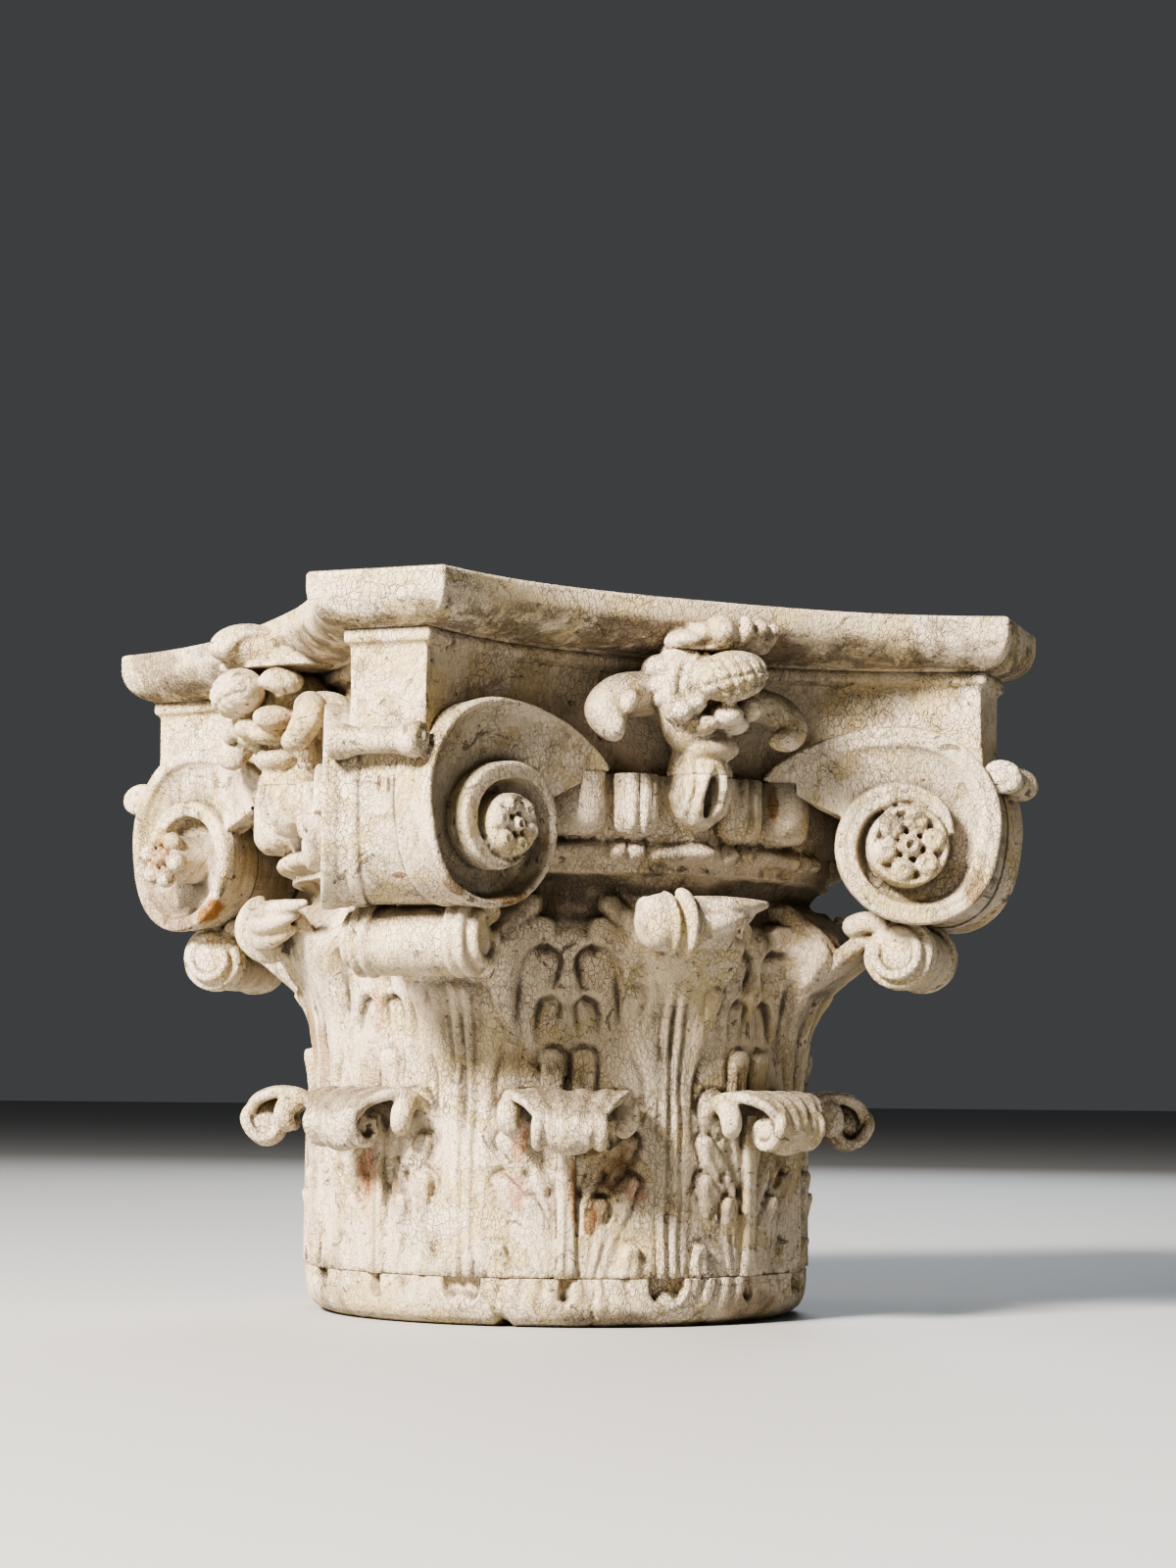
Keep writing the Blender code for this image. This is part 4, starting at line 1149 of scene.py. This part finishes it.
def foot_skin(round_share, along):
    """Place the foot board's grid, a little longer than the board at both ends."""
    degrees = 360.0 * round_share - 180.0
    z = -1.0 + (FOOT_SEAM_Z / MM + 4.0) * along
    radius = foot_radius_mm(degrees, z) * MM
    turn = np.radians(degrees)
    return stacked(radius * np.sin(turn), -radius * np.cos(turn), z * MM)


# Paint

class PaintMaker:
    """Small helpers that build one material's nodes."""

    def __init__(self, name):
        self.material = bpy.data.materials.new(name)
        self.material.use_nodes = True
        self.tree = self.material.node_tree
        self.shader = self.tree.nodes["Principled BSDF"]
        self.place = self.node("ShaderNodeTexCoord").outputs["Object"]

    def node(self, kind, **values):
        """A new node with these settings."""
        made = self.tree.nodes.new(kind)
        for key, value in values.items():
            setattr(made, key, value)
        return made

    def put(self, socket, value):
        """Link an output, or set a plain value, on an input."""
        if isinstance(value, bpy.types.NodeSocket):
            self.tree.links.new(value, socket)
        else:
            socket.default_value = value

    def math(self, operation, first, second=0.0, third=0.0):
        """One sum on outputs or plain numbers."""
        made = self.node("ShaderNodeMath", operation=operation)
        for socket, value in zip(made.inputs, (first, second, third)):
            self.put(socket, value)
        return made.outputs[0]

    def stretched(self, stretch):
        """Object coordinates scaled along each axis."""
        made = self.node("ShaderNodeMapping")
        self.put(made.inputs["Vector"], self.place)
        made.inputs["Scale"].default_value = stretch
        return made.outputs[0]

    def noise(self, scale, detail=4.0, rough=0.55, stretch=(1, 1, 1), bend=0.0):
        """Cloudy noise of so many features a metre."""
        made = self.node("ShaderNodeTexNoise")
        self.put(made.inputs["Vector"], self.stretched(stretch))
        for key, value in (("Scale", scale), ("Detail", detail), ("Roughness", rough), ("Distortion", bend)):
            made.inputs[key].default_value = value
        return made.outputs["Fac"]

    def cells(self, scale, stretch, warp):
        """Distance to the edges of irregular cells."""
        place = self.stretched(stretch)
        wobble = self.node("ShaderNodeTexNoise")
        self.put(wobble.inputs["Vector"], place)
        wobble.inputs["Scale"].default_value = scale * 0.9
        shifted = self.node("ShaderNodeVectorMath", operation="MULTIPLY_ADD")
        self.put(shifted.inputs[0], wobble.outputs["Color"])
        shifted.inputs[1].default_value = (warp, warp, warp)
        self.put(shifted.inputs[2], place)
        made = self.node("ShaderNodeTexVoronoi", feature="DISTANCE_TO_EDGE")
        self.put(made.inputs["Vector"], shifted.outputs[0])
        made.inputs["Scale"].default_value = scale
        return made.outputs["Distance"]

    def between(self, value, low, high):
        """0 at low and 1 at high, smoothly."""
        made = self.node("ShaderNodeMapRange", interpolation_type="SMOOTHSTEP")
        self.put(made.inputs["Value"], value)
        self.put(made.inputs["From Min"], low)
        self.put(made.inputs["From Max"], high)
        return made.outputs["Result"]

    def mix(self, share, first, second):
        """Two colours mixed by a share from 0 to 1."""
        made = self.node("ShaderNodeMix", data_type="RGBA")
        self.put(made.inputs["Factor"], share)
        for socket, value in zip((made.inputs[6], made.inputs[7]), (first, second)):
            self.put(socket, value if isinstance(value, bpy.types.NodeSocket) else (*value, 1.0))
        return made.outputs[2]

    def laid_on(self, colour, tint, share, strength):
        """The colour with a tint laid on it where share says, at most this strongly."""
        return self.mix(self.math("MULTIPLY", share, strength), colour, tint)

    def attribute(self, name):
        """A mark stored on the mesh."""
        made = self.node("ShaderNodeAttribute", attribute_name=name)
        return made.outputs["Fac"]

    def spot(self, centre, half_sizes, ragged=0.35):
        """1 inside a ragged oval and 0 outside it."""
        away = self.node("ShaderNodeVectorMath", operation="SUBTRACT")
        self.put(away.inputs[0], self.place)
        away.inputs[1].default_value = centre
        scaled = self.node("ShaderNodeVectorMath", operation="DIVIDE")
        self.put(scaled.inputs[0], away.outputs[0])
        scaled.inputs[1].default_value = half_sizes
        length = self.node("ShaderNodeVectorMath", operation="LENGTH")
        self.put(length.inputs[0], scaled.outputs[0])
        rough = self.noise(160, 3)
        edge = self.math("MULTIPLY_ADD", rough, ragged * 2, length.outputs["Value"])
        return self.between(edge, 1.15 + ragged, 0.75 + ragged)


# Stains: (centre, half sizes, tint, strength)
FOOT_STAINS = (
    ((-0.1123, -0.0465, 0.0104), (0.010, 0.014, 0.007), "cream", 0.6),
    ((-0.0342, -0.1166, 0.0030), (0.030, 0.012, 0.006), "dust", 0.6),
    ((0.0500, -0.1100, 0.0080), (0.020, 0.014, 0.008), "brown", 0.35),
)
BELL_STAINS = (
    ((-0.0654, -0.1024, 0.0820), (0.0040, 0.0060, 0.0110), "red", 0.40),
    ((-0.0659, -0.1021, 0.0604), (0.0045, 0.0060, 0.0090), "red", 0.42),
    ((-0.1149, -0.0466, 0.1385), (0.0060, 0.0070, 0.0120), "red", 0.45),
    ((-0.1147, -0.0400, 0.0651), (0.0060, 0.0090, 0.0160), "red", 0.45),
    ((-0.1285, -0.0414, 0.0890), (0.0070, 0.0070, 0.0070), "red", 0.35),
    ((-0.0257, -0.1200, 0.0680), (0.0090, 0.0080, 0.0100), "brown", 0.72),
    ((-0.0190, -0.1215, 0.0790), (0.0070, 0.0080, 0.0120), "brown", 0.60),
    ((-0.0330, -0.1190, 0.0560), (0.0040, 0.0070, 0.0120), "brown", 0.70),
    ((-0.0378, -0.1155, 0.0800), (0.0080, 0.0060, 0.0050), "brown", 0.65),
    ((-0.0366, -0.1158, 0.0479), (0.0030, 0.0050, 0.0080), "brown", 0.85),
    ((-0.0429, -0.1150, 0.0595), (0.0034, 0.0050, 0.0150), "ochre", 0.75),
    ((-0.0158, -0.1205, 0.0609), (0.0060, 0.0060, 0.0070), "red", 0.40),
    ((-0.1215, -0.0014, 0.1095), (0.0060, 0.0050, 0.0400), "brown", 0.45),
    ((-0.1208, 0.0130, 0.1372), (0.0060, 0.0050, 0.0200), "ochre", 0.50),
    ((-0.1076, -0.0564, 0.0603), (0.0030, 0.0040, 0.0100), "ochre", 0.70),
    ((-0.0941, -0.0769, 0.0618), (0.0070, 0.0080, 0.0120), "cream", 0.75),
    ((-0.0768, -0.0942, 0.1274), (0.0090, 0.0090, 0.0300), "cream", 0.60),
    ((-0.1000, -0.0680, 0.0400), (0.0090, 0.0090, 0.0150), "chalk", 0.60),
    ((0.0420, -0.1430, 0.2360), (0.0034, 0.0080, 0.0110), "ochre", 0.85),
    ((-0.0537, -0.1330, 0.1035), (0.0240, 0.0220, 0.0125), "dust", 0.62),
    ((-0.1330, -0.0537, 0.1035), (0.0220, 0.0240, 0.0120), "dust", 0.58),
    ((0.0537, -0.1330, 0.1035), (0.0240, 0.0220, 0.0120), "dust", 0.50),
    ((-0.1330, 0.0540, 0.0960), (0.0120, 0.0160, 0.0080), "ochre", 0.55),
    ((0.0705, -0.0990, 0.0756), (0.0080, 0.0080, 0.0300), "brown", 0.45),
    ((0.0560, -0.1180, 0.1850), (0.0200, 0.0200, 0.0140), "brown", 0.30),
)
BLOCK_STAINS = (
    ((-0.1520, -0.0300, 0.2700), (0.0100, 0.0130, 0.0120), "ochre", 0.35),
    ((-0.0450, -0.1520, 0.2700), (0.0110, 0.0110, 0.0110), "cream", 0.60),
    ((0.0055, -0.1600, 0.2550), (0.0100, 0.0090, 0.0070), "brown", 0.30),
    ((-0.1080, -0.1080, 0.2640), (0.0060, 0.0200, 0.0200), "chalk", 0.60),
)
BOARD_STAINS = (
    ((-0.1500, -0.1500, 0.3180), (0.0240, 0.0240, 0.0080), "cream", 0.70),
    ((-0.1720, 0.1180, 0.3170), (0.0160, 0.0200, 0.0070), "dust", 0.60),
    ((-0.0900, -0.1620, 0.3130), (0.0300, 0.0140, 0.0060), "cream", 0.65),
)
VOLUTE_STAINS = (
    ((-0.1560, 0.0740, 0.1880), (0.0200, 0.0180, 0.0090), "ochre", 0.95),
    ((-0.1690, 0.1000, 0.1870), (0.0160, 0.0160, 0.0080), "brown", 0.60),
    ((-0.1742, 0.0948, 0.2170), (0.0060, 0.0120, 0.0120), "ochre", 0.50),
    ((-0.1680, 0.1216, 0.1940), (0.0110, 0.0110, 0.0120), "brown", 0.50),
    ((-0.1714, 0.1300, 0.2120), (0.0080, 0.0080, 0.0140), "brown", 0.35),
    ((-0.0962, -0.1586, 0.1870), (0.0150, 0.0090, 0.0035), "ochre", 0.60),
    ((-0.1250, -0.1700, 0.1930), (0.0060, 0.0060, 0.0120), "brown", 0.70),
    ((0.1292, -0.1711, 0.1991), (0.0050, 0.0050, 0.0090), "brown", 0.55),
    ((-0.1450, -0.1400, 0.2300), (0.0080, 0.0080, 0.0160), "cream", 0.70),
    ((-0.1550, -0.1540, 0.2332), (0.0012, 0.0012, 0.0050), "brown", 0.80),
    ((-0.1520, -0.1570, 0.2332), (0.0012, 0.0012, 0.0050), "brown", 0.80),
    ((-0.1440, -0.1510, 0.1944), (0.0040, 0.0040, 0.0014), "brown", 0.75),
    ((-0.1460, -0.1490, 0.1915), (0.0012, 0.0012, 0.0034), "brown", 0.75),
)

# How each finish differs: (cracks a metre, stretch of its streaks, dust on top, painted shade underneath,
# stains)
FINISHES = {
    "foot_board_paint": (390, (1, 1, 0.5), 0.75, 0.0, FOOT_STAINS),
    "bell_paint": (420, (1, 1, 0.22), 0.75, 0.0, BELL_STAINS),
    "abacus_block_paint": (360, (1, 1, 0.6), 0.75, 0.0, BLOCK_STAINS),
    "abacus_board_paint": (340, (0.6, 0.6, 1), 0.5, 0.70, BOARD_STAINS),
    "volute_paint": (400, (1, 1, 0.4), 0.75, 0.0, VOLUTE_STAINS),
}


def aged_paint(name, colours):
    """Old ivory paint on carved wood: layers, flakes, crackle, dirt and painted shade in the hollows, painted
    shade underneath, rubbed edges.
    """
    crackle, streaks, dust, under, stains = FINISHES[name]
    make = PaintMaker(name)
    hollow, edge = make.attribute("hollow"), make.attribute("edge")

    # Patches of the pale ground, flakes of an older coat, bare wood and wiped streaks
    colour = make.mix(make.between(make.noise(16, 4), 0.36, 0.62), colours.ivory, colours.chalk)
    flake = make.between(make.noise(38, 8, 0.62, bend=0.8), 0.535, 0.550)
    colour = make.laid_on(colour, colours.cream, flake, 0.85)
    bare = make.between(make.noise(64, 9, 0.66, bend=1.2), 0.622, 0.640)
    colour = make.laid_on(colour, colours.dust, bare, 0.75)
    streak = make.between(make.noise(80, 6, 0.6, stretch=streaks), 0.50, 0.72)
    colour = make.laid_on(colour, colours.dust, streak, 0.60)
    stained = 0.0
    for centre, sizes, tint, strength in stains:
        share = make.math("MULTIPLY", make.spot(centre, sizes), strength)
        stained = make.math("MAXIMUM", share, stained)
        colour = make.mix(share, colour, getattr(colours, tint))

    # Dirt and painted shade in the hollows, dust on what looks up and painted shade on what looks down
    soot_and_shade = make.math("MULTIPLY", make.between(hollow, 0.15, 1.05),
                     make.between(make.noise(60, 4), 0.05, 0.50))
    colour = make.laid_on(colour, colours.grime_and_shade, soot_and_shade, 0.85)
    up = make.node("ShaderNodeSeparateXYZ")
    make.put(up.inputs[0], make.node("ShaderNodeNewGeometry").outputs["Normal"])
    settled = make.math("MULTIPLY", make.between(up.outputs["Z"], 0.20, 0.85),
                        make.between(make.noise(42, 7, 0.7), 0.22, 0.72))
    colour = make.laid_on(colour, colours.dust, settled, dust)
    # Painted shade: faces that look down are darkened in mottled patches with the dust colour, as strongly as
    # the finish says.
    painted_underside_shade = make.math("MULTIPLY", make.between(up.outputs["Z"], -0.10, -0.55),
                          make.between(make.noise(70, 7, 0.68, bend=0.6), 0.40, 0.56))
    colour = make.laid_on(colour, colours.dust, painted_underside_shade, under)

    # Crackle, pits and edges rubbed down to the ground
    split = make.between(make.cells(crackle, (1, 1, 0.62), 0.0030), 0.09, 0.0)
    shown = make.between(make.noise(30, 3), 0.38, 0.62)
    fissure = make.math("MULTIPLY", split, make.math("MULTIPLY_ADD", shown, 0.65, 0.35))
    colour = make.laid_on(colour, colours.dust, fissure, 0.30)
    pits = make.between(make.noise(330, 4, 0.7), 0.630, 0.69)
    colour = make.laid_on(colour, colours.grime_and_shade, pits, 0.65)
    rubbed = make.math("MULTIPLY", make.between(edge, -0.2, -0.8),
                       make.between(make.noise(75, 5), 0.42, 0.58))
    rubbed = make.math("MULTIPLY", rubbed, make.math("SUBTRACT", 1.0, stained))
    colour = make.laid_on(colour, colours.chalk, rubbed, 0.65)
    make.put(make.shader.inputs["Base Color"], colour)
    make.put(make.shader.inputs["Roughness"], make.math("MULTIPLY_ADD", settled, 0.10, 0.82))
    make.shader.inputs["Specular IOR Level"].default_value = 0.25

    # The same marks felt as relief, with brush strokes and grit
    strokes = make.noise(230, 7, 0.68, stretch=streaks)
    grit = make.noise(560, 4, 0.7, bend=0.8)
    height = 0.0
    marks = ((fissure, -0.50), (flake, -0.45), (bare, -0.35), (strokes, 1.75), (grit, 0.90), (pits, -0.5))
    for mark, depth in marks:
        height = make.math("MULTIPLY_ADD", mark, depth, height)
    bump = make.node("ShaderNodeBump")
    bump.inputs["Strength"].default_value = 1.0
    bump.inputs["Distance"].default_value = 0.0013
    make.put(bump.inputs["Height"], height)
    make.put(make.shader.inputs["Normal"], bump.outputs["Normal"])
    return make.material


# Settings, operators and panel

def colour_setting(name, description, default):
    """A colour that the user can change."""
    return FloatVectorProperty(name=name, description=description, subtype="COLOR", size=3,
                               min=0.0, max=1.0, default=default)


class CapitalColours(PropertyGroup):
    """Colours of the old paint, the wood and what has settled on them, two of which are also laid on as
    painted shade.
    """
    ivory: colour_setting("Ivory", "Main coat of paint", (0.70, 0.590, 0.430))
    chalk: colour_setting("Chalk", "Paler ground under the paint", (0.77, 0.666, 0.522))
    cream: colour_setting("Cream", "Yellowed older coat", (0.66, 0.540, 0.335))
    # This colour is both dirt in cracks and pits and painted shade laid in the hollows.
    grime_and_shade: colour_setting("Grime", "Dirt in hollows and cracks", (0.105, 0.086, 0.064))
    # This colour also darkens the undersides as painted shade.
    dust: colour_setting("Dust", "Dust settled on upper surfaces", (0.185, 0.146, 0.102))
    ochre: colour_setting("Ochre", "Wood and glue showing orange", (0.36, 0.175, 0.058))
    brown: colour_setting("Brown", "Bare darkened wood", (0.17, 0.085, 0.035))
    red: colour_setting("Red", "Traces of red under the paint", (0.55, 0.20, 0.13))


class CapitalSizes(PropertyGroup):
    """How finely the pieces are carved."""
    grain: FloatProperty(name="Grain", description="Finest detail of the carving", default=0.00095,
                         min=0.0006, max=0.004, subtype="DISTANCE", unit="LENGTH")
    floor_size: FloatProperty(name="Floor", description="Width of the floor", default=40.0, min=2.0,
                              subtype="DISTANCE", unit="LENGTH")


class CAPITAL_OT_stage(Operator):
    """Make the camera, the pale floor and the soft light"""
    bl_idname = "capital.stage"
    bl_label = "Stage"

    def execute(self, context):
        make_camera(context.scene)
        make_floor(context.scene, context.scene.capital_sizes.floor_size)
        make_lights(context.scene)
        return {"FINISHED"}


class CAPITAL_OT_foot_board(Operator):
    """Carve the worn board under the bell"""
    bl_idname = "capital.foot_board"
    bl_label = "Foot board"

    def execute(self, context):
        grain = context.scene.capital_sizes.grain
        mesh = fused([moved_grid(760, 26, foot_skin)], grain)
        mesh = cut_flat(cut_flat(mesh, 0.0, True), FOOT_SEAM_Z, False)
        paint = aged_paint("foot_board_paint", context.scene.capital_colours)
        finish_piece("worn_foot_board", mesh, "foot_board", "foot_board", paint)
        return {"FINISHED"}


class CAPITAL_OT_bell(Operator):
    """Carve the bell with its leaves, beads and eggs"""
    bl_idname = "capital.bell"
    bl_label = "Bell"

    def execute(self, context):
        grain = context.scene.capital_sizes.grain
        mesh = fused(bell_shapes(), grain)
        mesh = cut_flat(cut_flat(mesh, BELL_FOOT_Z, True), BELL_TOP_Z + SEAM_OVERLAP, False)
        paint = aged_paint("bell_paint", context.scene.capital_colours)
        finish_piece("carved_bell", mesh, "bell", "bell", paint)
        return {"FINISHED"}


class CAPITAL_OT_abacus_block(Operator):
    """Carve the tall block of the abacus with its flowers"""
    bl_idname = "capital.abacus_block"
    bl_label = "Abacus block"

    def execute(self, context):
        shapes = [moved_grid(640, 60, block_skin)]
        for side in range(SIDES):
            flower = calyx() + husk() + tendrils()
            shapes += [turn_round(shape, side * 90) for shape in flower]
        mesh = fused(shapes, context.scene.capital_sizes.grain)
        mesh = cut_flat(cut_flat(mesh, BLOCK_FOOT_Z - SEAM_OVERLAP, True), BLOCK_TOP_Z, False)
        paint = aged_paint("abacus_block_paint", context.scene.capital_colours)
        finish_piece("carved_abacus_block", mesh, "abacus_block", "abacus_block", paint)
        return {"FINISHED"}


class CAPITAL_OT_abacus_board(Operator):
    """Carve the moulded top board with the crowns of its flowers"""
    bl_idname = "capital.abacus_board"
    bl_label = "Abacus board"

    def execute(self, context):
        shapes = [moved_grid(720, 60, board_skin)]
        for side in range(SIDES):
            shapes += [turn_round(shape, side * 90) for shape in crown(side)]
        mesh = cut_flat(fused(shapes, context.scene.capital_sizes.grain), BOARD_FOOT_Z, True)
        paint = aged_paint("abacus_board_paint", context.scene.capital_colours)
        finish_piece("moulded_abacus_board", mesh, "abacus_board", "abacus_board", paint)
        return {"FINISHED"}


class CAPITAL_OT_volutes(Operator):
    """Carve the four corner volutes"""
    bl_idname = "capital.volutes"
    bl_label = "Volutes"

    def execute(self, context):
        grain = context.scene.capital_sizes.grain
        paint = aged_paint("volute_paint", context.scene.capital_colours)
        for node, degrees in HORNS:
            mesh = volute_mesh(node, grain)
            write_points(mesh, turned_about_z(read_points(mesh), degrees))
            for seat in volute_seat():
                mesh = cut_out(mesh, seat)
            finish_piece("carved_" + node, mesh, node, "volutes", paint)
        return {"FINISHED"}


class CAPITAL_PT_sidebar(Panel):
    """Lists the pieces of the capital and their settings"""
    bl_idname = "CAPITAL_PT_sidebar"
    bl_label = "Carved capital"
    bl_space_type = "VIEW_3D"
    bl_region_type = "UI"
    bl_category = "Capital"

    def draw(self, context):
        for operator in OPERATORS:
            self.layout.operator(operator.bl_idname)
        for group in (context.scene.capital_sizes, context.scene.capital_colours):
            for key in group.bl_rna.properties.keys():
                if key not in {"rna_type", "name"}:
                    self.layout.prop(group, key)


# Stage

# The camera's distance from the axis, its height, its turn from -Y towards -X and its small turns, in
# metres and radians, and its lens in millimetres
CAMERA_AWAY = 1.437
CAMERA_HEIGHT = 0.104
CAMERA_SIDE = math.radians(24.511)
CAMERA_PAN = 0.0089
CAMERA_TILT = 0.1045
CAMERA_ROLL = 0.0111
CAMERA_LENS = 67.57


def make_camera(scene):
    """The camera at the photograph's place, a little below the middle and looking up."""
    data = bpy.data.cameras.new("camera")
    data.lens = CAMERA_LENS
    data.sensor_width = 36.0
    camera = bpy.data.objects.new("camera", data)
    heading = CAMERA_SIDE + CAMERA_PAN
    ahead = Vector((math.sin(heading) * math.cos(CAMERA_TILT), math.cos(heading) * math.cos(CAMERA_TILT),
                    math.sin(CAMERA_TILT)))
    right = Vector((math.cos(heading), -math.sin(heading), 0))
    up = right.cross(ahead)
    level = right * math.cos(CAMERA_ROLL) + up * math.sin(CAMERA_ROLL)
    upright = up * math.cos(CAMERA_ROLL) - right * math.sin(CAMERA_ROLL)
    turn = Matrix((level, upright, -ahead)).transposed().to_4x4()
    spot = (-CAMERA_AWAY * math.sin(CAMERA_SIDE), -CAMERA_AWAY * math.cos(CAMERA_SIDE), CAMERA_HEIGHT)
    camera.matrix_world = Matrix.Translation(spot) @ turn
    scene.collection.objects.link(camera)
    scene.camera = camera


def make_floor(scene, size):
    """A plain pale floor."""
    bm = bmesh.new()
    bmesh.ops.create_grid(bm, x_segments=1, y_segments=1, size=size / 2)
    floor = bpy.data.objects.new("floor", as_mesh(bm, "floor"))
    pale = bpy.data.materials.new("pale_floor")
    pale.use_nodes = True
    shader = pale.node_tree.nodes["Principled BSDF"]
    shader.inputs["Base Color"].default_value = (0.40, 0.40, 0.40, 1)
    shader.inputs["Roughness"].default_value = 0.7
    floor.data.materials.append(pale)
    scene.collection.objects.link(floor)


WARM, COOL = (1.0, 0.93, 0.845), (0.88, 0.94, 1.0)
LIGHTS_AIM = (0, 0, 0.16)

# Lights: (name, place, size, watts, colour)
LIGHTS = (
    ("key", (-2.22, -1.00, 1.75), 0.60, 275.0, WARM),
    ("fill", (1.9, -1.5, 0.9), 1.8, 4.0, COOL),
    ("rim", (1.3, 1.9, 1.4), 1.2, 26.0, COOL),
    ("back_fill", (-1.6, 1.9, 1.1), 1.5, 20.0, WARM),
)


def make_lights(scene):
    """A soft key from the left of the camera, with weaker lights round the rest."""
    for name, spot, size, power, colour in LIGHTS:
        data = bpy.data.lights.new(name, "AREA")
        data.size = size
        data.energy = power
        data.color = colour
        lamp = bpy.data.objects.new(name, data)
        lamp.location = spot
        lamp.rotation_mode = "QUATERNION"
        lamp.rotation_quaternion = (Vector(LIGHTS_AIM) - Vector(spot)).to_track_quat("-Z", "Y")
        scene.collection.objects.link(lamp)
    world = bpy.data.worlds.new("studio")
    world.use_nodes = True
    sky = world.node_tree.nodes["Background"]
    sky.inputs["Color"].default_value = (0.76, 0.78, 0.81, 1)
    sky.inputs["Strength"].default_value = 0.10
    scene.world = world
    scene.view_settings.view_transform = "AgX"
    scene.view_settings.look = "AgX - High Contrast"


# The add-on: its classes in the order in which they are made

OPERATORS = (
    CAPITAL_OT_stage, CAPITAL_OT_foot_board, CAPITAL_OT_bell, CAPITAL_OT_abacus_block,
    CAPITAL_OT_abacus_board, CAPITAL_OT_volutes,
)
CLASSES = (CapitalColours, CapitalSizes, CAPITAL_PT_sidebar) + OPERATORS


def register():
    """Add the classes and their settings to Blender."""
    for kind in CLASSES:
        bpy.utils.register_class(kind)
    bpy.types.Scene.capital_colours = PointerProperty(type=CapitalColours)
    bpy.types.Scene.capital_sizes = PointerProperty(type=CapitalSizes)


def unregister():
    """Take the classes and their settings out again."""
    del bpy.types.Scene.capital_sizes
    del bpy.types.Scene.capital_colours
    for kind in reversed(CLASSES):
        bpy.utils.unregister_class(kind)


def main():
    """Build the stage and every piece."""
    register()
    bpy.ops.capital.stage()
    bpy.ops.capital.foot_board()
    bpy.ops.capital.bell()
    bpy.ops.capital.abacus_block()
    bpy.ops.capital.abacus_board()
    bpy.ops.capital.volutes()


if __name__ == "__main__":
    main()
